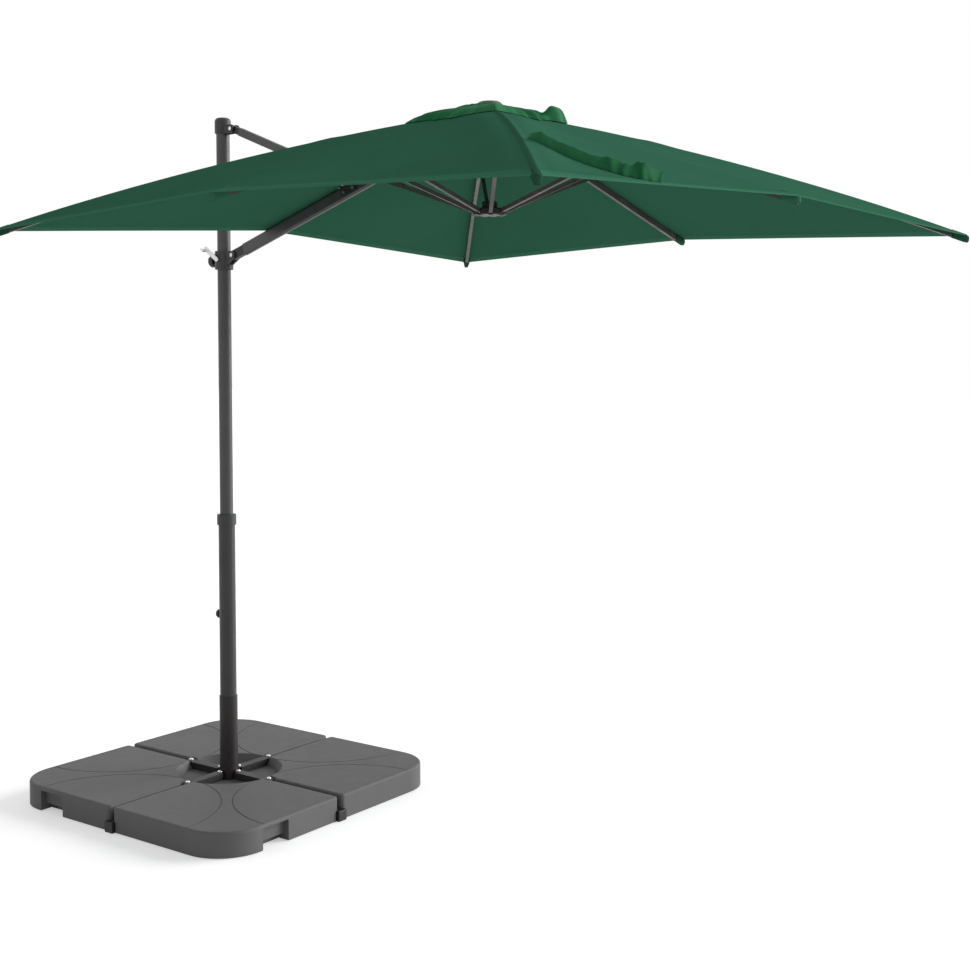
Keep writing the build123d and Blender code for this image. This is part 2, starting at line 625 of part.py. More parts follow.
def make_boom_ends():
    """The root tongue at the slider and the tip tongue at the hub, plugged into the boom."""
    plug_width = BOOM_WIDTH - 2 * BOOM_WALL - 2 * SEAT_FIT
    plug_height = BOOM_HEIGHT - 2 * BOOM_WALL - 2 * SEAT_FIT
    plug_round = BOOM_ROUND - BOOM_WALL
    root = rod(ROOT_EYE, TONGUE) + bar(BOOM_ROOT, TONGUE, ROOT_EYE * 2)
    root += Pos(BOOM_ROOT, 0, 0) * bar(BOOM_PLUG, plug_width, plug_height, plug_round)
    root -= rod(HINGE_PIN_RADIUS + PIN_FIT, TONGUE)
    tip = rod(RIB_EYE, RIB_WIDTH) + bar(BOOM_TIP, RIB_WIDTH, RIB_HEIGHT)
    tip += Pos(BOOM_TIP, 0, 0) * bar(BOOM_PLUG, plug_width, plug_height, plug_round)
    tip -= rod(RIB_PIN_RADIUS + PIN_FIT, RIB_WIDTH)
    tip = Pos(BOOM_LENGTH, 0, 0) * Rot(0, 180, 0) * tip
    return along(PIVOT_OFFSET, SLIDER_PIN_Z, BOOM_SLOPE, group([root, tip]))


def make_saddle():
    """Two cheek plates riveted to the boom, which carry the link's lower hinge above it."""
    cheeks = []
    for side in (-1, 1):
        middle = side * (BOOM_WIDTH + SADDLE_PLATE) / 2
        height = SADDLE_DEPTH + BOOM_HEIGHT / 2
        plate = Pos(-SADDLE_LENGTH / 2, 0, 0) * bar(SADDLE_LENGTH, SADDLE_PLATE, height)
        plate = Pos(0, 0, BOOM_HEIGHT / 2 - height / 2) * plate
        neck = Pos(-SADDLE_EAR, 0, SADDLE_RISE / 2) * bar(2 * SADDLE_EAR, SADDLE_PLATE, SADDLE_RISE)
        cheek = plate + neck + Pos(0, 0, SADDLE_RISE) * rod(SADDLE_EAR, SADDLE_PLATE)
        cheek -= Pos(0, 0, SADDLE_RISE) * rod(HINGE_PIN_RADIUS, SADDLE_PLATE)
        for end in (-1, 1):
            cheek -= Pos(end * RIVET_PITCH / 2, 0, 0) * rod(RIVET_RADIUS, SADDLE_PLATE)
        cheeks.append(Pos(SADDLE_ALONG, middle, 0) * cheek)
    return along(PIVOT_OFFSET, SLIDER_PIN_Z, BOOM_SLOPE, group(cheeks))


def make_saddle_pins():
    """The link's lower hinge pin and the two rivets that hold the saddle."""
    width = BOOM_WIDTH + 2 * SADDLE_PLATE
    pins = [Pos(SADDLE_ALONG, 0, SADDLE_RISE) * headed_pin(HINGE_PIN_RADIUS, width)]
    for side in (-1, 1):
        pins.append(Pos(SADDLE_ALONG + side * RIVET_PITCH / 2, 0, 0) * headed_pin(RIVET_RADIUS, width))
    return along(PIVOT_OFFSET, SLIDER_PIN_Z, BOOM_SLOPE, group(pins))


# Canopy frame pieces
def bowed_bar(start, end, width, height):
    """A bar that follows a corner rib's bow between two distances from its pin."""
    middle = (start + end) / 2
    top = ThreePointArc(
        (start, 0, corner_line(start) + height / 2),
        (middle, 0, corner_line(middle) + height / 2),
        (end, 0, corner_line(end) + height / 2),
    )
    bottom = ThreePointArc(
        (start, 0, corner_line(start) - height / 2),
        (middle, 0, corner_line(middle) - height / 2),
        (end, 0, corner_line(end) - height / 2),
    )
    face = make_face([top, bottom, Line(top @ 0, bottom @ 0), Line(top @ 1, bottom @ 1)])
    return extrude(face, width / 2, both=True)


def make_corner_rib():
    """A corner rib about its pin: root eye, bowed tube, and the cap on its tip."""
    end = CANOPY_CORNER_RIB - TIP_CAP
    tube = bowed_bar(RIB_ROOT, end, RIB_WIDTH, RIB_HEIGHT)
    tube -= bowed_bar(RIB_ROOT, end, RIB_WIDTH - 2 * RIB_WALL, RIB_HEIGHT - 2 * RIB_WALL)
    rise = degrees(atan2(corner_line(RIB_ROOT), RIB_ROOT))
    root = rod(RIB_EYE, RIB_WIDTH) + Rot(0, -rise, 0) * bar(RIB_ROOT, RIB_WIDTH, RIB_HEIGHT)
    rib = root + tube - rod(RIB_PIN_RADIUS + PIN_FIT, RIB_WIDTH)
    joint = Pos(CORNER_STRUT_REACH, 0, corner_line(CORNER_STRUT_REACH))
    rib -= joint * rod(RIB_PIN_RADIUS + PIN_FIT, RIB_WIDTH)
    cap = bowed_bar(end, CANOPY_CORNER_RIB, RIB_WIDTH, RIB_HEIGHT)
    return group([rib, cap])


def make_mid_rib():
    """A mid-side rib about its pin: root eye, straight tube, and the cap on its tip."""
    length = hypot(CANOPY_EDGE_RIB, MID_DROP)
    tube = bar(length - RIB_ROOT - TIP_CAP, RIB_WIDTH, RIB_HEIGHT)
    tube -= bar(length - RIB_ROOT - TIP_CAP, RIB_WIDTH - 2 * RIB_WALL, RIB_HEIGHT - 2 * RIB_WALL)
    root = rod(RIB_EYE, RIB_WIDTH) + bar(RIB_ROOT, RIB_WIDTH, RIB_HEIGHT)
    rib = root + Pos(RIB_ROOT, 0, 0) * tube - rod(RIB_PIN_RADIUS + PIN_FIT, RIB_WIDTH)
    rib -= Pos(STRUT_SPAN, 0, 0) * rod(RIB_PIN_RADIUS + PIN_FIT, RIB_WIDTH)
    cap = Pos(length - TIP_CAP, 0, 0) * bar(TIP_CAP, RIB_WIDTH, RIB_HEIGHT)
    return Rot(0, MID_SLOPE, 0) * group([rib, cap])


def strut_fork(half_gap, fork):
    """A strut's forked end about its pin: two plates that straddle a bar, along +X, and the pin."""
    plates = Part()
    for side in (-1, 1):
        middle = side * (half_gap + STRUT_PLATE / 2)
        plates += Pos(0, middle, 0) * rod(STRUT_HEIGHT / 2, STRUT_PLATE)
        plates += Pos(0, middle, 0) * bar(fork, STRUT_PLATE, STRUT_HEIGHT)
    return plates + rod(RIB_PIN_RADIUS, 2 * (half_gap + STRUT_PLATE))


def make_strut(joint_x, joint_z, half_gap, fork):
    """A strut about the rib pin's place, from its joint on the rib to the runner."""
    rise = joint_z + RUNNER_DROP
    length = hypot(joint_x, rise)
    block = bar(STRUT_END * 2, half_gap * 2, STRUT_HEIGHT)
    strut = strut_fork(half_gap, fork) + Pos(fork - STRUT_END * 2, 0, 0) * block
    strut += Pos(fork - STRUT_END, 0, 0) * bar(length - fork + STRUT_END, STRUT_WIDTH, STRUT_HEIGHT)
    strut += Pos(length, 0, 0) * rod(STRUT_HEIGHT / 2, STRUT_WIDTH)
    tilt = 180 - degrees(atan2(rise, joint_x))
    return Pos(joint_x, 0, joint_z) * Rot(0, tilt, 0) * strut


def mid_joint():
    """A mid-side strut's joint on its rib, from the rib pin."""
    reach = STRUT_SPAN * cos(radians(MID_SLOPE))
    return reach, mid_line(reach)


def boom_strut_pin(play):
    """The boom strut's pin hole, across the boom."""
    reach, height = mid_joint()
    return at_rib(180, Pos(reach, 0, height) * rod(RIB_PIN_RADIUS + play, BOOM_WIDTH * 2))


def make_crown_hub():
    """The slotted hub that the ribs and the boom hinge on, with its clamp plate and post."""
    hub = peg(HUB_RADIUS, HUB_BELOW + HUB_ABOVE)
    hub = Pos(0, 0, -HUB_BELOW) * hub
    slot_width = RIB_WIDTH + 2 * SIDE_PLAY
    slot = Pos(HUB_CORE, 0, 0) * bar(HUB_RADIUS, slot_width, HUB_RADIUS)
    for turn in SPOKES:
        hub -= Rot(0, 0, turn) * slot
        hub -= Rot(0, 0, turn) * Pos(RIB_PIN_RING, 0, 0) * rod(RIB_PIN_RADIUS, HUB_PIN_LENGTH)
    hub += Pos(0, 0, HUB_ABOVE) * extrude(Circle(HUB_CORE), HUB_PLATE_BOTTOM - HUB_ABOVE)
    plate = extrude(Circle(HUB_PLATE_RADIUS), HUB_PLATE_TOP - HUB_PLATE_BOTTOM)
    hub += Pos(0, 0, HUB_PLATE_BOTTOM) * plate
    hub += Pos(0, 0, HUB_PLATE_TOP) * extrude(Circle(HUB_POST_RADIUS), FINIAL_LIFT - HUB_PLATE_TOP)
    return Pos(HUB_X, 0, RIB_PIN_Z) * hub


def make_hub_pins():
    """The eight hinge pins of the ribs and the boom in the hub."""
    pins = []
    for turn in SPOKES:
        pins.append(at_rib(turn, rod(RIB_PIN_RADIUS, HUB_PIN_LENGTH)))
    return group(pins)


def make_finial():
    """The round cap on top of the canopy."""
    cap = peg(FINIAL_RADIUS, FINIAL_HEIGHT)
    cap = fillet(cap.edges().sort_by(Axis.Z)[-1], FINIAL_ROUND)
    return Pos(HUB_X, 0, RIB_PIN_Z + FINIAL_LIFT) * cap


def make_runner():
    """The lower hub that the struts meet on, with open slots for their ends."""
    runner = Cylinder(RUNNER_RADIUS, RUNNER_HEIGHT)
    runner = fillet(runner.edges(), RUNNER_ROUND)
    slot_width = STRUT_WIDTH + 2 * SIDE_PLAY
    slot = Pos(RUNNER_CORE, 0, 0) * bar(RUNNER_RADIUS, slot_width, RUNNER_HEIGHT)
    for turn in SPOKES:
        runner -= Rot(0, 0, turn) * slot
    crown = peg(RUNNER_CROWN_RADIUS, RUNNER_CROWN)
    crown = fillet(crown.edges().sort_by(Axis.Z)[-1], CROWN_ROUND)
    runner += Pos(0, 0, RUNNER_HEIGHT / 2) * crown
    return Pos(HUB_X, 0, RUNNER_PIN_Z) * runner


# Cloth pieces
def sheet_solid(rows, thickness, ring=False):
    """A thin closed solid over a grid of points; ring joins each row's last point to its first."""
    last = len(rows) - 1
    count = len(rows[0])
    spans = count if ring else count - 1
    lower = [[(x, y, z - thickness) for x, y, z in row] for row in rows]
    faces = []

    def triangle(a, b, c):
        faces.append(Face(Wire.make_polygon([a, b, c], close=True)))

    def wall(a, b, c, d):
        faces.append(Face(Wire.make_polygon([a, b, c, d], close=True)))

    for grid in (rows, lower):
        for i in range(last):
            for j in range(spans):
                k = (j + 1) % count
                triangle(grid[i][j], grid[i + 1][j], grid[i + 1][k])
                triangle(grid[i][j], grid[i + 1][k], grid[i][k])
    for j in range(spans):
        k = (j + 1) % count
        wall(rows[0][j], rows[0][k], lower[0][k], lower[0][j])
        wall(rows[last][j], rows[last][k], lower[last][k], lower[last][j])
    if not ring:
        for i in range(last):
            for j in (0, count - 1):
                wall(rows[i][j], rows[i + 1][j], lower[i + 1][j], lower[i][j])
    return Solid(Shell(faces))


def cloth_rise(slope):
    """Height of the cloth's top above a rib's middle line."""
    return RIB_HEIGHT / 2 / cos(radians(slope)) + CLOTH_GAP + CLOTH


def mid_cloth(distance):
    """A point of the cloth over a mid-side rib: distance out from the hub axis, and height."""
    return distance, mid_line(distance - RIB_PIN_RING) + cloth_rise(MID_SLOPE)


def corner_cloth(distance):
    """A point of the cloth over a corner rib."""
    return distance, corner_line(distance - RIB_PIN_RING) + cloth_rise(90 - CORNER_TILT)


def boom_cloth(distance):
    """A point of the cloth over the boom, which is taller than a rib."""
    axis_z = -tan(radians(BOOM_SLOPE)) * (distance - RIB_PIN_RING)
    return distance, axis_z + BOOM_HEIGHT / 2 / cos(radians(BOOM_SLOPE)) + CLOTH_GAP + CLOTH


def cloth_distances():
    """Where the cloth's rows cross a mid-side rib: round the hub, at the boom's end, then evenly."""
    first = RIB_PIN_RING + BOOM_TIP * cos(radians(BOOM_SLOPE))
    pitch = (CANOPY_HALF - first) / CLOTH_ROWS
    return [CLOTH_INNER] + [first + pitch * step for step in range(CLOTH_ROWS + 1)]


def cloth_wing(kind, boom_sides=()):
    """The share of the canopy over one rib, about the hub axis with the rib along +X.

    The boom lifts the cloth between the two corner ribs beside it; boom_sides are the edges there."""
    rows = []
    eighth = tan(radians(SPOKE_PITCH / 2))
    for distance in cloth_distances():
        mid_z = mid_cloth(distance)[1]
        corner_reach, corner_z = corner_cloth(distance * 2**0.5)
        boom_lift = boom_cloth(distance)[1] - mid_z if distance > CLOTH_INNER else 0.0
        ridge = (distance, 0, mid_z)
        if kind == "corner":
            ridge = (corner_reach, 0, corner_z)
        if kind == "boom":
            ridge = (distance, 0, mid_z + boom_lift)
        edges = []
        for side in (-1, 1):
            edge_z = mid_z + (corner_z - mid_z) * eighth
            if side in boom_sides:
                edge_z += boom_lift * (1 - eighth)
            edges.append((distance, side * (distance * eighth - SEAM_GAP), edge_z))
        rows.append([edges[0], ridge, edges[1]])
    return sheet_solid(rows, CLOTH)


def at_hub(azimuth, shape):
    """Set a shape made about the hub axis at a rib's azimuth."""
    return Pos(HUB_X, 0, RIB_PIN_Z) * Rot(0, 0, azimuth) * shape


def make_boom_wing():
    """The canopy share over the boom, with the slit that the link's saddle stands in."""
    wing = at_hub(180, cloth_wing("boom", (-1, 1)))
    slit = Pos(SADDLE_ALONG, 0, BOOM_HEIGHT) * Box(SLIT_LENGTH, SLIT_WIDTH, BOOM_HEIGHT * 2)
    return wing - along(PIVOT_OFFSET, SLIDER_PIN_Z, BOOM_SLOPE, slit)


def make_vent_flap():
    """The loose square flap round the finial, clamped on the hub."""
    rows = []
    flat = HUB_PLATE_TOP + CLOTH
    corner_share = cos(radians(SPOKE_PITCH / 2))
    hole = (HUB_POST_RADIUS + SEAT_FIT) / corner_share
    plate_rim = (HUB_PLATE_RADIUS + SEAT_FIT) / corner_share
    for reach in (hole, plate_rim, FLAP_REACH):
        row = []
        for turn in SPOKES:
            diagonal = turn in CORNER_RIBS.values()
            distance = reach
            height = flat
            if reach == FLAP_REACH:
                distance = reach * 2**0.5 if diagonal else reach
                line = corner_cloth if diagonal else boom_cloth if turn == 180 else mid_cloth
                height = line(distance)[1] + FLAP_LIFT
            row.append((distance * cos(radians(turn)), distance * sin(radians(turn)), height))
        rows.append(row)
    return Pos(HUB_X, 0, RIB_PIN_Z) * sheet_solid(rows, CLOTH, ring=True)


def make_strap():
    """The loose strap that leans on the outer front slope, bowed, from beside the corner rib to the rim."""
    rows = []
    along_x = cos(radians(STRAP_TURN))
    along_y = sin(radians(STRAP_TURN))
    for share in (0, 0.25, 0.5, 0.75, 1):
        back = STRAP_LENGTH * share
        bow = 4 * STRAP_BOW * share * (1 - share) / 2**0.5
        row = []
        for side, lift in ((-0.5, STRAP_LIFT), (0.5, STRAP_LIFT + STRAP_STAND)):
            x = CANOPY_HALF - STRAP_RIM_GAP - back * along_x - side * STRAP_SPREAD * along_y + bow
            y = STRAP_INSET - CANOPY_HALF - back * along_y + side * STRAP_SPREAD * along_x - bow
            mid_z = mid_cloth(x)[1]
            corner_z = corner_cloth(x * 2**0.5)[1]
            height = mid_z - (corner_z - mid_z) * y / x
            row.append((x, y, height + lift))
        rows.append(row)
    return Pos(HUB_X, 0, RIB_PIN_Z) * sheet_solid(rows, STRAP_THICKNESS)


# Write every node
os.makedirs("parts", exist_ok=True)
leg_x, leg_y = make_legs()
save("cross_leg_x", leg_x)
save("cross_leg_y", leg_y)
save("leg_feet", make_leg_feet())
tank = make_tank()
TANKS = {"tank_right": 0, "tank_far": 90, "tank_left": 180, "tank_near": 270}
for name, quarter in TANKS.items():
    save(name, turned(Rot(0, 0, quarter) * tank))
plug = make_tank_plug()
save("tank_plugs", turned(group([Rot(0, 0, quarter) * plug for quarter in TANKS.values()])))
save("foot_plate", make_foot_plate())
save("clamp_arms", make_arms())
save("arm_bolts", make_arm_bolts())
save("mast_socket", make_socket())
save("lower_mast_tube", make_lower_tube())
save("mast_collar", make_collar())
save("swivel_bush", make_swivel_bush())
mast_stud = LOWER_RADIUS + BOSS_LENGTH + SIDE_PLAY - UPPER_RADIUS - SLEEVE_FIT
mast_knob = make_knob(MAST_KNOB_RADIUS, MAST_KNOB_LENGTH, mast_stud)
knob_face = LOWER_RADIUS + BOSS_LENGTH + SIDE_PLAY
save("mast_knob", Pos(-knob_face, 0, MAST_KNOB_Z) * Rot(0, -90, 0) * mast_knob)
save("upper_mast_tube", upright(UPPER_RADIUS, UPPER_RADIUS - UPPER_WALL, UPPER_BOTTOM, UPPER_TOP))
save("mast_head", make_mast_head())
ear_span = TONGUE + 2 * SIDE_PLAY + 2 * EAR
save("head_pin", Pos(PIVOT_OFFSET, 0, HEAD_PIN_Z) * headed_pin(HINGE_PIN_RADIUS, ear_span))
save("slider_sleeve", make_slider_sleeve())
save("slider_liner", make_slider_liner())
save("slider_pin", Pos(PIVOT_OFFSET, 0, SLIDER_PIN_Z) * headed_pin(HINGE_PIN_RADIUS, ear_span))
slider_face = SLIDER_RADIUS + SLIDER_KNOB_NECK
slider_stud = slider_face - UPPER_RADIUS - SLEEVE_FIT
slider_knob = make_knob(SLIDER_KNOB_RADIUS, SLIDER_KNOB_LENGTH, slider_stud)
slider_knob_z = SLIDER_PIN_Z - SLIDER_KNOB_DROP
save("slider_knob", Pos(-slider_face, 0, slider_knob_z) * Rot(0, -90, 0) * slider_knob)
save("lock_lever", make_lock_lever())
link_tube, link_ends = make_link()
save("link_tube", link_tube)
save("link_ends", link_ends)
save("boom_tube", make_boom_tube())
save("boom_ends", make_boom_ends())
save("link_saddle", make_saddle())
save("saddle_pins", make_saddle_pins())
save("crown_hub", make_crown_hub())
save("hub_pins", make_hub_pins())
save("finial_cap", make_finial())
save("runner", make_runner())
rib_gap = RIB_WIDTH / 2 + SIDE_PLAY
mid_strut = make_strut(*mid_joint(), rib_gap, STRUT_FORK)
corner_joint = (CORNER_STRUT_REACH, corner_line(CORNER_STRUT_REACH))
corner_strut = make_strut(*corner_joint, rib_gap, STRUT_FORK)
for name, azimuth in MID_RIBS.items():
    save("rib_" + name, at_rib(azimuth, make_mid_rib()))
    save("strut_" + name, at_rib(azimuth, mid_strut))
    save("canopy_" + name, at_hub(azimuth, cloth_wing("mid")))
for name, azimuth in CORNER_RIBS.items():
    save("rib_" + name, at_rib(azimuth, make_corner_rib()))
    save("strut_" + name, at_rib(azimuth, corner_strut))
    boom_sides = [side for side in (-1, 1) if azimuth + side * SPOKE_PITCH == 180]
    save("canopy_" + name, at_hub(azimuth, cloth_wing("corner", boom_sides)))
boom_gap = BOOM_WIDTH / 2 + SIDE_PLAY
save("strut_boom", at_rib(180, make_strut(*mid_joint(), boom_gap, BOOM_STRUT_FORK)))
save("canopy_boom", make_boom_wing())
save("vent_flap", make_vent_flap())
save("canopy_strap", make_strap())

# Hinge places for the fold, in millimetres and degrees
print("saddle pin", round(SADDLE_X, 4), round(SADDLE_Z, 4))
print("boom end", round(BOOM_END_X, 4), RIB_PIN_Z)
print("mid joint", [round(value, 4) for value in mid_joint()])
print("corner joint", [round(value, 4) for value in corner_joint])
print("runner pin", round(RUNNER_PIN_Z, 4))
print("corner turns", round(CORNER_RIB_TURN, 5), round(CORNER_STRUT_TURN, 5))
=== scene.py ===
import json
from math import atan2, copysign, cos, exp, hypot, pi, radians, sin, sqrt, tan

import bmesh
import bpy
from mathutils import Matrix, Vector


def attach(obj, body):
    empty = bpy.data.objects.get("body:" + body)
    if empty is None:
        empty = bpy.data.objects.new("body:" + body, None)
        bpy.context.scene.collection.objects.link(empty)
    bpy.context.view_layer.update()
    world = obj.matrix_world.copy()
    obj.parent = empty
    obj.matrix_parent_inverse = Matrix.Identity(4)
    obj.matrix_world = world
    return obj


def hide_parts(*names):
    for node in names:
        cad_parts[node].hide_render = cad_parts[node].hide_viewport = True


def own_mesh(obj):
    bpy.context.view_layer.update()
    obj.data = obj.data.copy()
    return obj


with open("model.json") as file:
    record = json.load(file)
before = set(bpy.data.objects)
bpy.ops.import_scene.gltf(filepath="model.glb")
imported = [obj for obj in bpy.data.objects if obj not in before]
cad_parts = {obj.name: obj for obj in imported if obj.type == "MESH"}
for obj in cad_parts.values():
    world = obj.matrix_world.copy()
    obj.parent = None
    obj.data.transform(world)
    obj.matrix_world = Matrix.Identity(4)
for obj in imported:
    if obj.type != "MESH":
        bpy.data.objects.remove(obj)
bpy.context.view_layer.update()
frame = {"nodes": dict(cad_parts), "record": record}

# Looks of the patio umbrella: cloth, paint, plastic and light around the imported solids. Metres.

# Canopy frame, as in the solids
HUB = Vector((1.285, 0.0, 2.343))
HALF = 1.050
PIN_RING = 0.042
MID_SLOPE = radians(17.82)
CORNER_RUN = HALF * sqrt(2) - PIN_RING
CORNER_EXTRA_DROP = 0.040
CORNER_DROP = (HALF - PIN_RING) * tan(MID_SLOPE) + CORNER_EXTRA_DROP
CORNER_BOW = 0.030
RIB_HALF = 0.009
BOOM_HALF = 0.022
BOOM_RISE = 0.366
BOOM_RUN = 1.181
BOOM_SLOPE = atan2(BOOM_RISE, BOOM_RUN)

# Canopy cloth: its upper face over a rib, its thickness, the half width of its opening at the hub,
# the slope of the edge between two wings, and the run on which it comes up from the hub onto the boom
CLOTH_RISE = 0.0046
CLOTH_THICK = 0.0014
INNER = 0.044
WING_EDGE = tan(radians(22.5))
BOOM_BLEND = 0.072

# Slit for the link's end: where it starts and stops, the cloth's rows in it, its half width in the
# middle, half the length of that middle, and its half width at both ends
SLIT = (0.577, 0.669)
SLIT_ROWS = (0.600, 0.623, 0.646)
SLIT_HALF = 0.018
SLIT_WAIST = 0.023
SLIT_TIP = 0.006

# Slack between the ribs: its depth, the powers by which it grows outward and ends at the rim, its ripples,
# their waves over the skew, over the reach and round the hub, and the beats of those over skew and reach
SAG = 0.010
SLACK_GROWTH = 1.5
SLACK_END = 6
RIPPLE = 0.0022
RIPPLE_WAVES = (21, 5, 2.4)
RIPPLE_BEATS = (3, 7.0)

# Scallops of the rim between the ribs; the hem, with the rows of points just past its start and just before
# the rim; and the seam along a corner rib, with the points in its middle and just past its edge
RIM_SCALLOP = 0.002
SCALLOP_GROWTH = 6
HEM = 0.028
HEM_STEP = 0.0025
HEM_LIP = 0.003
HEM_SWELL = 0.0010
SEAM_HALF = 0.008
SEAM_MIDDLE = 0.0045
SEAM_STEP = 0.0015
SEAM_SWELL = 0.0009

# Rounding of the cloth along a corner rib: how much of a full round it is, where it has grown to that, the
# power by which it ends at the rim, and its width near the hub and at the rim; then the room that it leaves
# for the fork of a corner strut
RIDGE_EASE = 0.85
RIDGE_START = 0.25
RIDGE_END = 12
RIDGE_ROUND_INSIDE = 0.100
RIDGE_ROUND_RIM = 0.050
FORK_ROOM = 0.0036
FORK_ALONG = 0.490
FORK_OFF = 0.052
FORK_LENGTH = 0.040
FORK_WIDTH = 0.020

# Every wing of cloth: its name, its azimuth, the body it rides on and the joint that gathers it
WINGS = (
    ("outer", 0, "rib_outer", "rib_outer_hinge"),
    ("outer_back", 45, "rib_outer_back", "rib_outer_back_hinge"),
    ("back", 90, "rib_back", "rib_back_hinge"),
    ("mast_back", 135, "rib_mast_back", "rib_mast_back_hinge"),
    ("boom", 180, "boom", "boom_fold"),
    ("mast_front", 225, "rib_mast_front", "rib_mast_front_hinge"),
    ("front", 270, "rib_front", "rib_front_hinge"),
    ("outer_front", 315, "rib_outer_front", "rib_outer_front_hinge"),
)
RIBS = [wing[:3] for wing in WINGS if wing[2] != "boom"]


def at_corner(azimuth):
    """Whether an azimuth points at a corner of the canopy and not at the middle of a side."""
    return azimuth % 90 != 0


def tip_reach(azimuth):
    """How far a rib's tip lies from the hub in plan."""
    return HALF * sqrt(2) if at_corner(azimuth) else HALF


def turned(azimuth, along, aside):
    """The plan point at a distance along an azimuth from the hub and aside of it."""
    turn = radians(azimuth)
    return Vector((
        HUB.x + along * cos(turn) - aside * sin(turn),
        HUB.y + along * sin(turn) + aside * cos(turn),
        0.0,
    ))


def clamped(value):
    return min(max(value, 0.0), 1.0)


def hump(value, middle, width, power=2):
    """A smooth bump of height one; a higher power makes its top flatter."""
    return exp(-((value - middle) / width) ** power)


def between_ribs(skew):
    """One half way between two ribs and none at them; skew is 0 at a mid rib and 1 at a corner rib."""
    return 4 * skew * (1 - skew)


def mid_height(reach):
    return -(reach - PIN_RING) * tan(MID_SLOPE) + RIB_HALF / cos(MID_SLOPE) + CLOTH_RISE


def corner_height(reach):
    share = (reach - PIN_RING) / CORNER_RUN
    bow = 4 * CORNER_BOW * share * (1 - share)
    return -CORNER_DROP * share + bow + RIB_HALF + CLOTH_RISE


def boom_height(reach):
    return -(reach - PIN_RING) * tan(BOOM_SLOPE) + BOOM_HALF / cos(BOOM_SLOPE) + CLOTH_RISE


def ridge_lift(reach, aside):
    """How far the cloth stands over a sharp fold beside a corner rib, with room for the strut's fork."""
    share = (reach * sqrt(2) - PIN_RING) / CORNER_RUN
    fall = (CORNER_DROP - 4 * CORNER_BOW * (1 - 2 * share)) / CORNER_RUN
    along = (reach + aside) / sqrt(2)
    off = (reach - aside) / sqrt(2)
    out = reach / HALF
    ease = RIDGE_EASE * min(reach / RIDGE_START, 1.0) ** 2 * max(1 - out ** RIDGE_END, 0.0)
    width = RIDGE_ROUND_INSIDE * (1 - out) + RIDGE_ROUND_RIM * out
    fork = hump(along, FORK_ALONG, FORK_LENGTH) * hump(off, FORK_OFF, FORK_WIDTH)
    return ease * fall * off * hump(off, 0.0, width) + FORK_ROOM * fork


def cloth_height(x, y):
    """Height of the cloth's upper face over a point given from the hub."""
    reach = max(abs(x), abs(y))
    aside = min(abs(x), abs(y))
    out = reach / HALF
    skew = aside / reach
    height = mid_height(reach) * (1 - skew) + corner_height(reach * sqrt(2)) * skew
    slack = between_ribs(skew) * out ** SLACK_GROWTH * (1 - out ** SLACK_END)
    waves = RIPPLE_WAVES[0] * skew + RIPPLE_WAVES[1] * reach + RIPPLE_WAVES[2] * atan2(y, x)
    beats = RIPPLE_BEATS[0] * skew + RIPPLE_BEATS[1] * reach
    ripple = sin(waves) * sin(beats)
    height += ridge_lift(reach, aside) - slack * (SAG + RIPPLE * ripple)
    if x < 0 and abs(x) >= abs(y):
        over = clamped((reach - INNER) / BOOM_BLEND)
        height += (boom_height(reach) - mid_height(reach)) * (1 - skew) * over
    return HUB.z + height


def on_cloth(point, lift=0.0):
    """The point of the cloth over a plan point, raised by a lift."""
    return Vector((point.x, point.y, cloth_height(point.x - HUB.x, point.y - HUB.y) + lift))


def placed(name, data):
    """A new object in the scene."""
    made = bpy.data.objects.new(name, data)
    bpy.context.scene.collection.objects.link(made)
    return made


def as_piece(name, bm, material):
    """A piece with the built mesh and one material."""
    mesh = bpy.data.meshes.new(name)
    bm.to_mesh(mesh)
    bm.free()
    mesh.materials.append(material)
    return placed(name, mesh)


def thin_piece(name, rows, material, hole=None):
    """A thin sheet from rows of (upper point, thickness, uv); a row may come back to its first point."""
    bm = bmesh.new()
    layer = bm.loops.layers.uv.new("metres")
    upper = []
    under = {}
    spot = {}
    for row in rows:
        line = []
        for point, thickness, uv in row:
            if line and point is row[0][0]:
                line.append(line[0])
                continue
            above = bm.verts.new(point)
            below = bm.verts.new(point - Vector((0.0, 0.0, thickness)))
            under[above] = below
            spot[above] = uv
            spot[below] = uv
            line.append(above)
        upper.append(line)
    for first, second in zip(upper, upper[1:]):
        for place in range(len(first) - 1):
            corners = (first[place], first[place + 1], second[place + 1], second[place])
            if hole and hole(sum((v.co for v in corners), Vector()) / 4):
                continue
            bm.faces.new(corners).smooth = True
            bm.faces.new([under[v] for v in reversed(corners)]).smooth = True
    rim = [edge for edge in bm.edges if edge.is_boundary and edge.verts[0] in under]
    for edge in rim:
        a, b = edge.verts
        wall = bm.faces.new((b, a, under[a], under[b]))
        for side in wall.edges:
            side.smooth = False
    loose = [v for v in bm.verts if not v.link_faces]
    bmesh.ops.delete(bm, geom=loose, context="VERTS")
    bmesh.ops.recalc_face_normals(bm, faces=bm.faces)
    for face in bm.faces:
        for loop in face.loops:
            loop[layer].uv = spot[loop.vert]
    return as_piece(name, bm, material)


def grid(point, steps, places):
    """Rows for a thin piece; point takes the share along it, 0 to 1, and the share across it, -1 to 1."""
    rows = []
    for step in range(steps + 1):
        rows.append([point(step / steps, place / places) for place in range(-places, places + 1)])
    return rows


def scaled(colour, factor):
    return tuple(part * factor for part in colour)


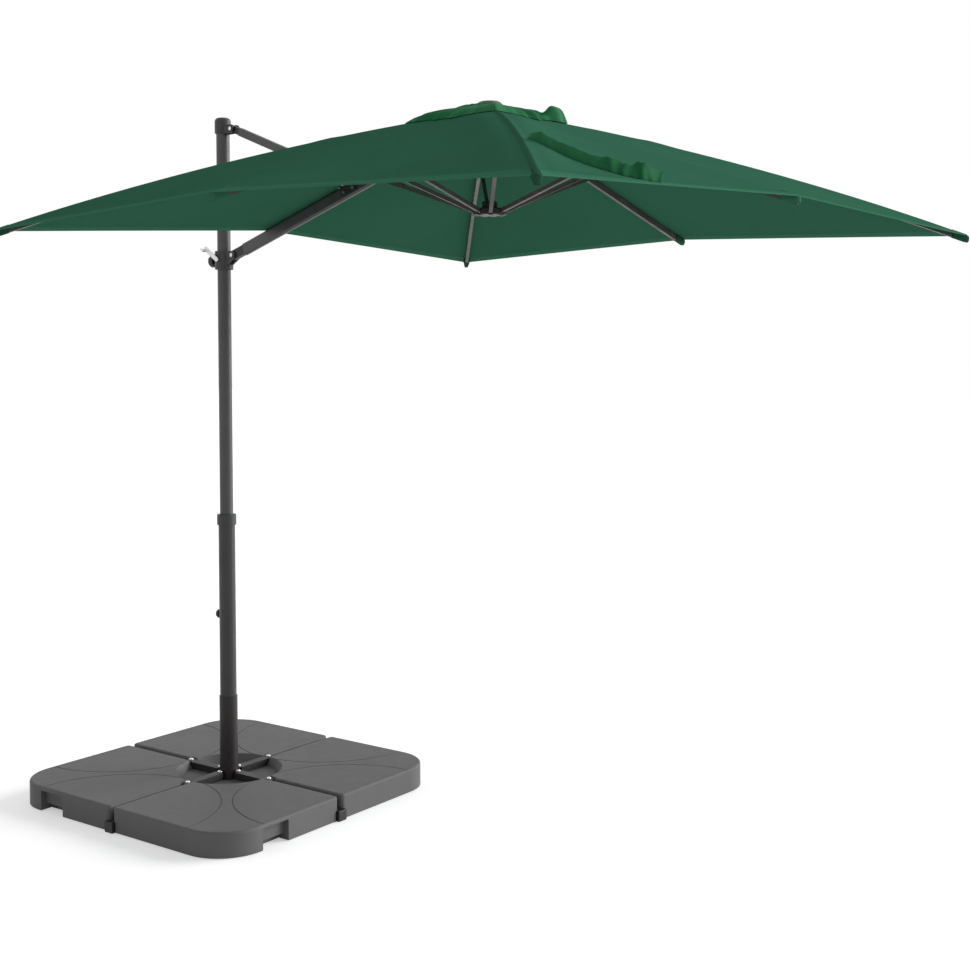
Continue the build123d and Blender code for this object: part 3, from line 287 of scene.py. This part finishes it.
class Paint:
    """A material's node tree, with short calls for the nodes that the finishes share."""

    def __init__(self, name):
        self.material = bpy.data.materials.new(name)
        self.material.use_nodes = True
        self.tree = self.material.node_tree
        self.bsdf = self.tree.nodes["Principled BSDF"]
        self.coords = self.node("TexCoord")

    def node(self, kind, **settings):
        made = self.tree.nodes.new("ShaderNode" + kind)
        for key, value in settings.items():
            if key in made.inputs:
                made.inputs[key].default_value = value
            else:
                setattr(made, key, value)
        return made

    def link(self, source, target):
        self.tree.links.new(source, target)

    def set(self, **values):
        for key, value in values.items():
            self.bsdf.inputs[key.replace("_", " ")].default_value = value

    def noise(self, scale, detail, stretch=(1, 1, 1)):
        place = self.node("Mapping", Scale=stretch)
        self.link(self.coords.outputs["Object"], place.inputs["Vector"])
        noise = self.node("TexNoise", Scale=scale, Detail=detail)
        self.link(place.outputs["Vector"], noise.inputs["Vector"])
        return noise.outputs["Fac"]

    def span(self, value, low, high, start=0.35, stop=0.65):
        """A value from start to stop drawn out from low to high; most noise lies in the default span."""
        place = self.node("MapRange")
        place.inputs["From Min"].default_value = start
        place.inputs["From Max"].default_value = stop
        place.inputs["To Min"].default_value = low
        place.inputs["To Max"].default_value = high
        self.link(value, place.inputs["Value"])
        return place.outputs["Result"]

    def math(self, operation, first, second=0.0):
        made = self.node("Math", operation=operation)
        for socket, value in zip(made.inputs, (first, second)):
            if isinstance(value, (int, float)):
                socket.default_value = value
            else:
                self.link(value, socket)
        return made.outputs[0]

    def blend(self, factor, first, second):
        """A mix of two colours; the node keeps its colour inputs at 6 and 7 and its colour output at 2."""
        made = self.node("Mix", data_type="RGBA")
        self.link(factor, made.inputs[0])
        for socket, value in ((made.inputs[6], first), (made.inputs[7], second)):
            if isinstance(value, tuple):
                socket.default_value = (*value, 1.0)
            else:
                self.link(value, socket)
        return made.outputs[2]

    def clouded(self, colour, scale, detail, dark, light):
        """A colour that wanders between a dark and a light shade of itself."""
        cloud = self.span(self.noise(scale, detail), low=0, high=1)
        return self.blend(cloud, scaled(colour, dark), scaled(colour, light))

    def colour(self, source):
        self.link(source, self.bsdf.inputs["Base Color"])

    def rough(self, level, scale, detail, less, more):
        """Roughness that wanders from a little less to a little more than its level."""
        patches = self.span(self.noise(scale, detail), low=level - less, high=level + more)
        self.link(patches, self.bsdf.inputs["Roughness"])

    def bump(self, height, distance, strength):
        made = self.node("Bump", Strength=strength, Distance=distance)
        self.link(height, made.inputs["Height"])
        self.link(made.outputs["Normal"], self.bsdf.inputs["Normal"])


def powder_coat(name, colour, roughness, metallic=0.0, gloss=0.5):
    """Baked paint: fine orange peel, a faint cloudiness and dust that dulls it in patches."""
    paint = Paint(name)
    paint.set(Metallic=metallic, Specular_IOR_Level=gloss)
    paint.colour(paint.clouded(colour, scale=6.0, detail=4.0, dark=0.92, light=1.08))
    paint.rough(roughness, scale=14.0, detail=5.0, less=0.05, more=0.05)
    paint.bump(paint.noise(scale=900.0, detail=2.0), distance=0.0003, strength=0.35)
    return paint.material


def moulded(name, colour, roughness, grain=900.0, depth=0.0003, gloss=0.4):
    """Moulded plastic: pebbled grain, slight flow clouds and scuffs that catch the light."""
    paint = Paint(name)
    paint.set(Specular_IOR_Level=gloss)
    base = paint.clouded(colour, scale=5.0, detail=5.0, dark=0.96, light=1.04)
    streaks = paint.noise(scale=38.0, detail=8.0, stretch=(1.0, 6.0, 1.0))
    scuff = paint.span(streaks, low=0.0, high=0.15, start=0.66, stop=0.78)
    paint.colour(paint.blend(scuff, base, scaled(colour, 1.35)))
    paint.rough(roughness, scale=24.0, detail=5.0, less=0.02, more=0.04)
    paint.bump(paint.noise(scale=grain, detail=3.0), distance=depth, strength=0.4)
    return paint.material


def plated(name, colour, roughness):
    """Bright metal with fine drawing lines and a little tarnish."""
    paint = Paint(name)
    paint.set(Metallic=1.0)
    paint.colour(paint.clouded(colour, scale=60.0, detail=5.0, dark=0.82, light=1.0))
    paint.rough(roughness, scale=90.0, detail=4.0, less=0.06, more=0.10)
    lines = paint.noise(scale=400.0, detail=2.0, stretch=(1.0, 1.0, 14.0))
    paint.bump(lines, distance=0.0002, strength=0.3)
    return paint.material


def drawn_metal(name, colour, roughness):
    """Lacquered extrusion: part metal, with a fine grain and faint clouds."""
    paint = Paint(name)
    paint.set(Metallic=0.40)
    paint.colour(paint.clouded(colour, scale=9.0, detail=4.0, dark=0.85, light=1.12))
    paint.rough(roughness, scale=30.0, detail=5.0, less=0.06, more=0.08)
    paint.bump(paint.noise(scale=500.0, detail=2.0), distance=0.0002, strength=0.3)
    return paint.material


# Weave and stitches: the thread's pitch, the weave's height against a stitch's, the stitch lines' places
# from the rim and from the seam, the stitches themselves, where the hem band turns lighter, and how far the
# painted shade of the fold beside the seam reaches
THREAD = 0.0011
WEAVE_HEIGHT = 0.25
HEM_STITCH = 0.021
SEAM_STITCH = 0.005
STITCH_PITCH = 0.006
STITCH_SHARE = 0.66
STITCH_HALF = 0.0009
HEM_FADE = 0.001
SEAM_SHADE = 0.011


def woven(name, colour, stitched, gloss=0.0):
    """Plain-woven cloth with uv in metres; stitched cloth has them from its seam and from its rim."""
    paint = Paint(name)
    paint.set(Specular_IOR_Level=gloss)
    split = paint.node("SeparateXYZ")
    paint.link(paint.coords.outputs["UV"], split.inputs[0])
    across, inward = split.outputs[0], split.outputs[1]
    waves = []
    for line in (across, inward):
        phase = paint.math("MULTIPLY", line, 2 * pi / THREAD)
        waves.append(paint.math("SINE", phase))
    height = paint.math("MULTIPLY", paint.math("MULTIPLY", waves[0], waves[1]), WEAVE_HEIGHT)
    base = paint.clouded(colour, scale=1.6, detail=2.0, dark=0.95, light=1.05)
    slub = paint.span(paint.noise(scale=260.0, detail=2.0), low=0.0, high=0.5)
    base = paint.blend(slub, base, scaled(colour, 0.86))
    if stitched:
        for line, run, place in ((inward, across, HEM_STITCH), (across, inward, SEAM_STITCH)):
            off = paint.math("ABSOLUTE", paint.math("SUBTRACT", line, place))
            on_line = paint.math("LESS_THAN", off, STITCH_HALF)
            dash = paint.math("FRACT", paint.math("DIVIDE", run, STITCH_PITCH))
            stitch = paint.math("MULTIPLY", on_line, paint.math("LESS_THAN", dash, STITCH_SHARE))
            base = paint.blend(stitch, base, scaled(colour, 0.55))
            height = paint.math("ADD", height, stitch)
        hem = paint.span(inward, low=0.6, high=0.0, start=HEM - HEM_FADE, stop=HEM + HEM_FADE)
        base = paint.blend(hem, base, scaled(colour, 1.30))
        # Painted shade: the cloth beside the seam over a corner rib is darkened towards the seam, for the
        # shade of the fold there.
        fold = paint.span(across, low=0.75, high=0.0, start=0.0, stop=SEAM_SHADE)
        base = paint.blend(fold, base, scaled(colour, 0.45))
    paint.colour(base)
    paint.rough(0.74, scale=12.0, detail=4.0, less=0.0, more=0.10)
    paint.bump(height, distance=0.0006, strength=0.5)
    return paint.material


CANOPY_GREEN = (0.040, 0.147, 0.090)
FLAP_GREEN = (0.012, 0.142, 0.051)
FINISHES = {
    "steel_black": powder_coat("steel_black", (0.020, 0.020, 0.021), roughness=0.50, gloss=0.35),
    "mast_steel": powder_coat("mast_steel", (0.062, 0.062, 0.064), roughness=0.44, metallic=0.2),
    "socket_steel": powder_coat("socket_steel", (0.016, 0.013, 0.0125), roughness=0.46, gloss=0.4),
    "frame_metal": drawn_metal("frame_metal", (0.088, 0.083, 0.079), roughness=0.44),
    "bright_steel": plated("bright_steel", (0.72, 0.72, 0.72), roughness=0.26),
    "tank_plastic": moulded("tank_plastic", (0.112, 0.113, 0.112), roughness=0.62,
                            grain=700.0, depth=0.0004, gloss=0.35),
    "black_plastic": moulded("black_plastic", (0.012, 0.012, 0.013), roughness=0.46),
    "grey_plastic": moulded("grey_plastic", (0.040, 0.041, 0.042), roughness=0.48),
    "cap_plastic": moulded("cap_plastic", (0.095, 0.072, 0.058), roughness=0.46),
    "canopy_cloth": woven("canopy_cloth", CANOPY_GREEN, stitched=True),
    "flap_cloth": woven("flap_cloth", FLAP_GREEN, stitched=False, gloss=0.12),
}
# Pocket cloth darkened to 0.60 of the canopy's green: painted shade on the pockets round the rib tips.
POCKET_PAINTED_SHADE_FINISH = woven("pocket_cloth_painted_shade", scaled(CANOPY_GREEN, 0.60), stitched=False)
PALE_POCKET_FINISH = woven("tip_cloth", CANOPY_GREEN, stitched=False)
# The strap's cloth is the flap's green darkened: painted shade for its folded band.
STRAP_PAINTED_SHADE_FINISH = woven("strap_cloth_painted_shade", scaled(FLAP_GREEN, 0.80), stitched=False, gloss=0.12)
LOWER_MAST_FINISH = powder_coat("lower_mast", (0.031, 0.031, 0.032), roughness=0.46, metallic=0.2)

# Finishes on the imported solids
for subpart in frame["record"]["subparts"]:
    solid = frame["nodes"][subpart["node"]]
    solid.data.materials.clear()
    solid.data.materials.append(FINISHES[subpart["material_slot"]])
frame["nodes"]["lower_mast_tube"].data.materials[0] = LOWER_MAST_FINISH

# Plastic on part of a solid: its length at a rib's tip, and the place where the mast head's ears start
TIP_CAP = 0.017
HEAD_EARS = 0.038


def second_finish(node, slot, chosen):
    """Another finish on the faces of a solid whose middle is chosen."""
    mesh = frame["nodes"][node].data
    mesh.materials.append(FINISHES[slot])
    for face in mesh.polygons:
        if chosen(face.center):
            face.material_index = 1


def beyond(limit):
    """A choice of the points that lie further from the hub in plan than a limit."""
    return lambda spot: hypot(spot.x - HUB.x, spot.y) > limit


for name, azimuth, body in RIBS:
    second_finish(body, "black_plastic", beyond(tip_reach(azimuth) - TIP_CAP))
second_finish("mast_head", "black_plastic", lambda spot: spot.x > HEAD_EARS)

# Sewn pockets over the rib tips: their size, rings of points, how square and how much narrower below they
# are, their puckers, how far their last rings close, and which ones keep the canopy's own colour; the
# others get painted shade, a darker copy of the cloth
POCKET_LENGTH = 0.050
POCKET_OVER = 0.0035
POCKET_HALF = 0.0128
POCKET_WIDE = 0.0120
POCKET_LIFT = 0.0014
POCKET_STEPS = 8
POCKET_CORNERS = 16
POCKET_SQUARE = 0.6
POCKET_NARROW = 0.80
POCKET_PUCKER = 0.04
POCKET_PUCKERS = 3
POCKET_ENDS = {7: 0.88, 8: 0.62}
PALE_POCKETS = ("front", "outer")


def squared(value):
    """A sine or cosine drawn towards the sides of a box."""
    return copysign(abs(value) ** POCKET_SQUARE, value)


def pocket(name, azimuth, cloth):
    """A pouch of doubled cloth round a rib tip, wider at the cloth than below."""
    tip = tip_reach(azimuth)
    turn = radians(azimuth)
    aside = Vector((-sin(turn), cos(turn), 0))
    bm = bmesh.new()
    layer = bm.loops.layers.uv.new("metres")
    rings = []
    for step in range(POCKET_STEPS + 1):
        along = tip - POCKET_LENGTH + (POCKET_LENGTH + POCKET_OVER) * step / POCKET_STEPS
        middle = turned(azimuth, along, 0)
        middle.z = on_cloth(turned(azimuth, min(along, tip), 0), POCKET_LIFT).z - POCKET_HALF
        shrink = POCKET_ENDS.get(step, 1.0)
        ring = []
        for corner in range(POCKET_CORNERS):
            angle = 2 * pi * corner / POCKET_CORNERS
            wide = POCKET_WIDE * squared(cos(angle))
            tall = POCKET_HALF * squared(sin(angle))
            wide *= 1.0 if tall > 0 else POCKET_NARROW
            pucker = 1 + POCKET_PUCKER * sin(POCKET_PUCKERS * angle + step)
            point = middle + aside * wide * shrink * pucker + Vector((0, 0, tall * shrink))
            ring.append(bm.verts.new(point))
        rings.append(ring)
    for first, second in zip(rings, rings[1:]):
        for corner in range(POCKET_CORNERS):
            after = (corner + 1) % POCKET_CORNERS
            bm.faces.new((first[corner], first[after], second[after], second[corner])).smooth = True
    bm.faces.new(rings[0])
    bm.faces.new(rings[-1]).smooth = True
    bmesh.ops.recalc_face_normals(bm, faces=bm.faces)
    for face in bm.faces:
        for loop in face.loops:
            loop[layer].uv = (loop.vert.co.x, loop.vert.co.z)
    return as_piece(name, bm, cloth)


for name, azimuth, body in RIBS:
    cloth = PALE_POCKET_FINISH if name in PALE_POCKETS else POCKET_PAINTED_SHADE_FINISH
    pouch = pocket("pocket_" + name, azimuth, cloth)
    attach(pouch, body)

# Canopy wings: rows of points from the hub to the slit and from there to the hem, points on each side of
# the rib, and the uv of a mid wing, which has no seam and so starts far from the stitches
HUB_ROWS = 18
RIM_ROWS = 13
SIDE_POINTS = 16
SEAMLESS = 5.0


def wing_rows(azimuth):
    """Rows of the wing over one rib, from the hub out to the hem."""
    hem_start = HALF - HEM
    reaches = [INNER + (SLIT[0] - INNER) * place / HUB_ROWS for place in range(HUB_ROWS)]
    reaches += [SLIT[0], *SLIT_ROWS, SLIT[1]]
    reaches += [SLIT[1] + (hem_start - SLIT[1]) * place / RIM_ROWS for place in range(1, RIM_ROWS + 1)]
    reaches += [hem_start + HEM_STEP, HALF - HEM / 2, HALF - HEM_LIP, HALF]
    rows = []
    for reach in reaches:
        swell = HEM_SWELL if reach > hem_start else 0.0
        if at_corner(azimuth):
            places = [0.0, SEAM_MIDDLE, SEAM_HALF, SEAM_HALF + SEAM_STEP]
        else:
            places = [0.0, SLIT_TIP, SLIT_HALF]
        start = places[-1]
        left = reach * WING_EDGE - start
        places += [start + left * place / SIDE_POINTS for place in range(1, SIDE_POINTS + 1)]
        row = []
        for aside in [-place for place in reversed(places[1:])] + places:
            row.append(wing_point(azimuth, reach, aside, swell))
        rows.append(row)
    return rows


def wing_point(azimuth, reach, aside, swell):
    """One point of a wing, its thickness and its uv; aside is the distance from the rib's line."""
    if at_corner(azimuth):
        along = reach * sqrt(2) - abs(aside)
        across = abs(aside)
        if across <= SEAM_HALF:
            swell += SEAM_SWELL
        skew = 1 - across * sqrt(2) / reach
    else:
        along = reach
        across = SEAMLESS + aside
        skew = abs(aside) / reach
    draw = 1 - RIM_SCALLOP * between_ribs(skew) * (reach / HALF) ** SCALLOP_GROWTH
    plan = turned(azimuth, along * draw, aside * draw)
    return on_cloth(plan, swell), CLOTH_THICK + 2 * swell, (across, HALF - reach)


def in_slit(centre):
    """Whether a point lies in the link's slit, which is wide in the middle and narrow at its ends."""
    off = abs(HUB.x - centre.x - (SLIT[0] + SLIT[1]) / 2)
    half = SLIT_HALF if off < SLIT_WAIST else SLIT_TIP
    return off < (SLIT[1] - SLIT[0]) / 2 and abs(centre.y) < half


for name, azimuth, body, joint in WINGS:
    hole = in_slit if body == "boom" else None
    wing = thin_piece("wing_" + name, wing_rows(azimuth), FINISHES["canopy_cloth"], hole)
    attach(wing, body)
    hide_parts("canopy_" + name)
    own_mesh(wing)

# Vent flap: a puffed and ruffled sector over every wing, gathered round the finial
FLAP_REACH = 0.183
FLAP_INNER = 0.041
FLAP_TOP = 0.0228
FLAP_THICK = 0.0012
FLAP_REST = 0.006
FLAP_CLEAR = 0.0015
FLAP_PUFF = 0.010
FLAP_STEPS = 24
FLAP_PLACES = 18

# Its waves: how far they lift the free edge and draw it out, how many large and small ones there are round
# the hub, and how much the large ones differ in length and in size
FLAP_RUFFLE = 0.007
RUFFLE_MEAN = 0.75
RUFFLE_SWING = 0.6
FLAP_DRAW = 0.045
LARGE_WAVES = 13
LARGE_SHIFT = 1.5
LARGE_MEAN = 0.75
LARGE_SWING = 0.4
SMALL_WAVES = 23
SMALL_SIZE = 0.4

# Its raised collar near the finial: height, place and width on the way out, and how that height swings
# round the hub, with the side where it is highest
COLLAR = 0.010
COLLAR_PLACE = 0.13
COLLAR_WIDTH = 0.10
COLLAR_MEAN = 0.6
COLLAR_SWING = 0.5
COLLAR_SIDE = radians(262)

# Its lobe on the outer back side: how narrow it is round the hub, its height, place, width and flatness on
# the way out, how far it is drawn in, and the dip before it
LOBE_SIDE = radians(45)
LOBE_POWER = 10
LOBE = 0.029
LOBE_PLACE = 0.203
LOBE_WIDTH = 0.033
LOBE_FLATNESS = 4
LOBE_DRAW = 0.10
LOBE_DIP = 0.006
LOBE_DIP_PLACE = 0.160
LOBE_DIP_WIDTH = 0.010

# Its skirt, which comes down towards the canopy: where it starts, and the share of the way that it comes
SKIRT_START = 0.80
SKIRT_SHARE = 0.95


def ruffle(angle):
    """Waves round the hub, the large ones uneven in length and height, the small ones even."""
    shift = LARGE_SHIFT * sin(4 * angle + 1)
    size = LARGE_MEAN + LARGE_SWING * sin(3 * angle + 0.5)
    return sin(LARGE_WAVES * angle + shift) * size + SMALL_SIZE * sin(SMALL_WAVES * angle + 0.7)


def flap_point(azimuth, out_share, aside_share):
    """One point of a flap sector; out_share goes from its round inner edge to its free edge."""
    aside = aside_share * FLAP_REACH * WING_EDGE
    along = FLAP_REACH * sqrt(2) - abs(aside) if at_corner(azimuth) else FLAP_REACH
    edge = turned(azimuth, along, aside)
    edge.z = HUB.z
    span = (edge - HUB).length
    reach = FLAP_INNER + (span - FLAP_INNER) * out_share
    plan = HUB + (edge - HUB) * (reach / span)
    share = max((reach * FLAP_REACH / span - FLAP_INNER) / (FLAP_REACH - FLAP_INNER), 0.0)
    angle = atan2(plan.y - HUB.y, plan.x - HUB.x)
    wave = ruffle(angle)
    lobe = max(cos(angle - LOBE_SIDE), 0.0) ** LOBE_POWER
    plan = HUB + (plan - HUB) * (1 + (FLAP_DRAW * wave - LOBE_DRAW * lobe) * share ** 2)
    height = (HUB.z + FLAP_TOP) * (1 - share) + (on_cloth(edge).z + FLAP_REST) * share
    height += FLAP_PUFF * sin(pi * share) + FLAP_RUFFLE * share * (RUFFLE_MEAN + RUFFLE_SWING * wave)
    around = COLLAR_MEAN + COLLAR_SWING * cos(angle - COLLAR_SIDE)
    height += COLLAR * hump(share, COLLAR_PLACE, COLLAR_WIDTH) * around
    away = hypot(plan.x - HUB.x, plan.y - HUB.y)
    rise = LOBE * hump(away, LOBE_PLACE, LOBE_WIDTH, LOBE_FLATNESS)
    height += lobe * (rise - LOBE_DIP * hump(away, LOBE_DIP_PLACE, LOBE_DIP_WIDTH))
    rest = on_cloth(plan).z + FLAP_THICK + FLAP_CLEAR
    down = max((share - SKIRT_START) / (1 - SKIRT_START), 0.0)
    skirt = down ** (2 + 2 * lobe) * SKIRT_SHARE
    height = max(height, rest) * (1 - skirt) + rest * skirt
    return Vector((plan.x, plan.y, height)), FLAP_THICK, (plan.x, plan.y)


for name, azimuth, body, joint in WINGS:
    rows = grid(lambda out, aside: flap_point(azimuth, out, aside), FLAP_STEPS, FLAP_PLACES)
    sector = thin_piece("flap_" + name, rows, FINISHES["flap_cloth"])
    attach(sector, body)
    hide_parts("vent_flap")
    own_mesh(sector)

# Ring of cloth under the flap's inner edge, sewn round the hub, with a slight ripple in its outer edge
RING_INNER = 0.0385
RING_OUTER = 0.058
RING_TOP = 0.0212
RING_FALL = 0.0062
RING_CURVE = 1.5
RING_RIPPLE = 0.0008
RING_WAVES = 12
RING_STEPS = 6
RING_PLACES = 72

rows = []
for step in range(RING_STEPS + 1):
    share = step / RING_STEPS
    reach = RING_INNER + (RING_OUTER - RING_INNER) * share
    row = []
    for place in range(RING_PLACES):
        angle = 2 * pi * place / RING_PLACES
        drop = RING_FALL * share ** RING_CURVE + RING_RIPPLE * share * sin(RING_WAVES * angle)
        spot = HUB + Vector((reach * cos(angle), reach * sin(angle), RING_TOP - drop))
        row.append((spot, FLAP_THICK, (spot.x, spot.y)))
    rows.append(row + row[:1])
ring = thin_piece("flap_ring", rows, FINISHES["flap_cloth"])
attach(ring, "hub")
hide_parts("vent_flap")

# Strap that leans ruffled on the outer front slope: its ends from the hub, its bow, how far its edges lie
# from its middle in plan, how high its upper edge stands, its lift off the cloth and its half width
STRAP_START = Vector((0.7601, -0.7277, 0.0))
STRAP_END = Vector((1.037, -0.595, 0.0))
STRAP_BOW = Vector((0.0438, -0.0438, 0.0))
STRAP_SPREAD = 0.013
STRAP_STAND = 0.019
STRAP_LUMP = 0.009
STRAP_THICK = 0.0016
STRAP_LIFT = 0.003
STRAP_HALF = 0.021
STRAP_STEPS = 120
STRAP_PLACES = 5

# Its upper edge comes up over a first stretch, and it is calm up to a place beyond which the ruffles grow
STAND_START = 0.4
STAND_GROWTH = 0.12
STAND_CURVE = 0.8
CALM_SHARE = 0.25
CALM_END = 0.50
RUFFLE_GROWTH = 0.20

# Its folds, finer creases and ragged upper edge: their sizes and pitches
FOLD = 0.0060
FOLD_FOOT = 0.4
FOLD_PITCH = 0.047
DRIFT = 1.4
DRIFT_PITCH = 0.19
CREASE = 0.0020
CREASE_PITCH = 0.024
CREASE_SLANT = 1.2
RAGGED = 0.25
RAGGED_PITCH = 0.083
RAGGED_PHASE = 0.9
RAGGED_CREASE = 0.08


def wave_along(away, pitch, phase=0.0):
    """A sine of a given pitch at a distance along a line."""
    return sin(2 * pi * away / pitch + phase)


def strap_point(share, across):
    """One point of the strap; share runs along it, across from its lower edge to its upper one."""
    line = STRAP_END - STRAP_START
    away = line.length * share
    side = Vector((-line.y, line.x, 0.0)).normalized()
    ruffled = CALM_SHARE + (1 - CALM_SHARE) * clamped((share - CALM_END) / RUFFLE_GROWTH)
    upper = (across + 1) / 2
    wave = wave_along(away, FOLD_PITCH, DRIFT * wave_along(away, DRIFT_PITCH))
    crease = wave_along(away, CREASE_PITCH, CREASE_SLANT * across)
    fold = ruffled * (FOLD * wave * (FOLD_FOOT + upper) + CREASE * crease)
    bow = STRAP_BOW * 4 * share * (1 - share)
    plan = HUB + STRAP_START + line * share + bow + side * (across * STRAP_SPREAD + fold)
    rags = RAGGED * wave_along(away, RAGGED_PITCH, RAGGED_PHASE) + RAGGED_CREASE * crease
    ragged = 1 + ruffled * rags
    stand = (STRAP_STAND + STRAP_LUMP * ruffled) * min(STAND_START + share / STAND_GROWTH, 1.0)
    point = on_cloth(plan, STRAP_LIFT + stand * upper ** STAND_CURVE * ragged)
    return point, STRAP_THICK, (across * STRAP_HALF, away)


strap = thin_piece("loose_strap", grid(strap_point, STRAP_STEPS, STRAP_PLACES), STRAP_PAINTED_SHADE_FINISH)
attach(strap, "rib_outer_front")
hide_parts("canopy_strap")
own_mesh(strap)

# Camera at the photograph's viewing angle
CAMERA_PLACE = Vector((4.167, -3.280, 1.647))
CAMERA_YAW = radians(131.49)
CAMERA_PITCH = radians(-3.15)
SENSOR_WIDTH = 36.0
LENS = 52.956
PICTURE_SHIFT = 60 / 971

camera_data = bpy.data.cameras.new("camera")
camera_data.sensor_width = SENSOR_WIDTH
camera_data.lens = LENS
camera_data.shift_y = -PICTURE_SHIFT
camera = placed("camera", camera_data)
camera.location = CAMERA_PLACE
camera.rotation_euler = (radians(90) + CAMERA_PITCH, 0, CAMERA_YAW - radians(90))
bpy.context.scene.camera = camera

# Soft sun, pale surroundings and a pale floor
SUN_STRENGTH = 3.0
SUN_SPREAD = radians(40)
SUN_WAY = Vector((-0.50, -0.80, -0.33))
SKY_LIGHT = 0.48
SKY_SEEN = 1.0
FLOOR_HALF = 40.0
FLOOR_GREY = (0.86, 0.86, 0.86, 1)
FLOOR_GLOW = 0.42
WHITE = (1, 1, 1, 1)

sun_data = bpy.data.lights.new("sun", "SUN")
sun_data.energy = SUN_STRENGTH
sun_data.angle = SUN_SPREAD
sun = placed("sun", sun_data)
sun.rotation_euler = SUN_WAY.to_track_quat("-Z", "Y").to_euler()


def seen_directly(tree):
    """One for rays that show the background itself: straight, mirrored or through something clear."""
    path = tree.nodes.new("ShaderNodeLightPath")
    total = path.outputs["Is Camera Ray"]
    for ray in ("Is Glossy Ray", "Is Transmission Ray"):
        add = tree.nodes.new("ShaderNodeMath")
        add.operation = "ADD"
        add.use_clamp = True
        tree.links.new(total, add.inputs[0])
        tree.links.new(path.outputs[ray], add.inputs[1])
        total = add.outputs[0]
    return total


world = bpy.data.worlds.new("studio")
bpy.context.scene.world = world
world.use_nodes = True
tree = world.node_tree
tree.nodes.clear()
level = tree.nodes.new("ShaderNodeMapRange")
level.inputs["To Min"].default_value = SKY_LIGHT
level.inputs["To Max"].default_value = SKY_SEEN
tree.links.new(seen_directly(tree), level.inputs["Value"])
sky = tree.nodes.new("ShaderNodeBackground")
tree.links.new(level.outputs["Result"], sky.inputs["Strength"])
sky.inputs["Color"].default_value = WHITE
output = tree.nodes.new("ShaderNodeOutputWorld")
tree.links.new(sky.outputs[0], output.inputs["Surface"])

floor_mesh = bpy.data.meshes.new("floor")
corners = [(x * FLOOR_HALF, y * FLOOR_HALF, 0) for x, y in ((-1, -1), (1, -1), (1, 1), (-1, 1))]
floor_mesh.from_pydata(corners, [], [(0, 1, 2, 3)])
floor_paint = Paint("floor")
floor_paint.set(Base_Color=FLOOR_GREY, Roughness=0.9, Emission_Color=WHITE)
glow = floor_paint.math("MULTIPLY", seen_directly(floor_paint.tree), FLOOR_GLOW)
floor_paint.link(glow, floor_paint.bsdf.inputs["Emission Strength"])
floor_mesh.materials.append(floor_paint.material)
floor = placed("floor", floor_mesh)

bpy.context.scene.view_settings.view_transform = "Standard"
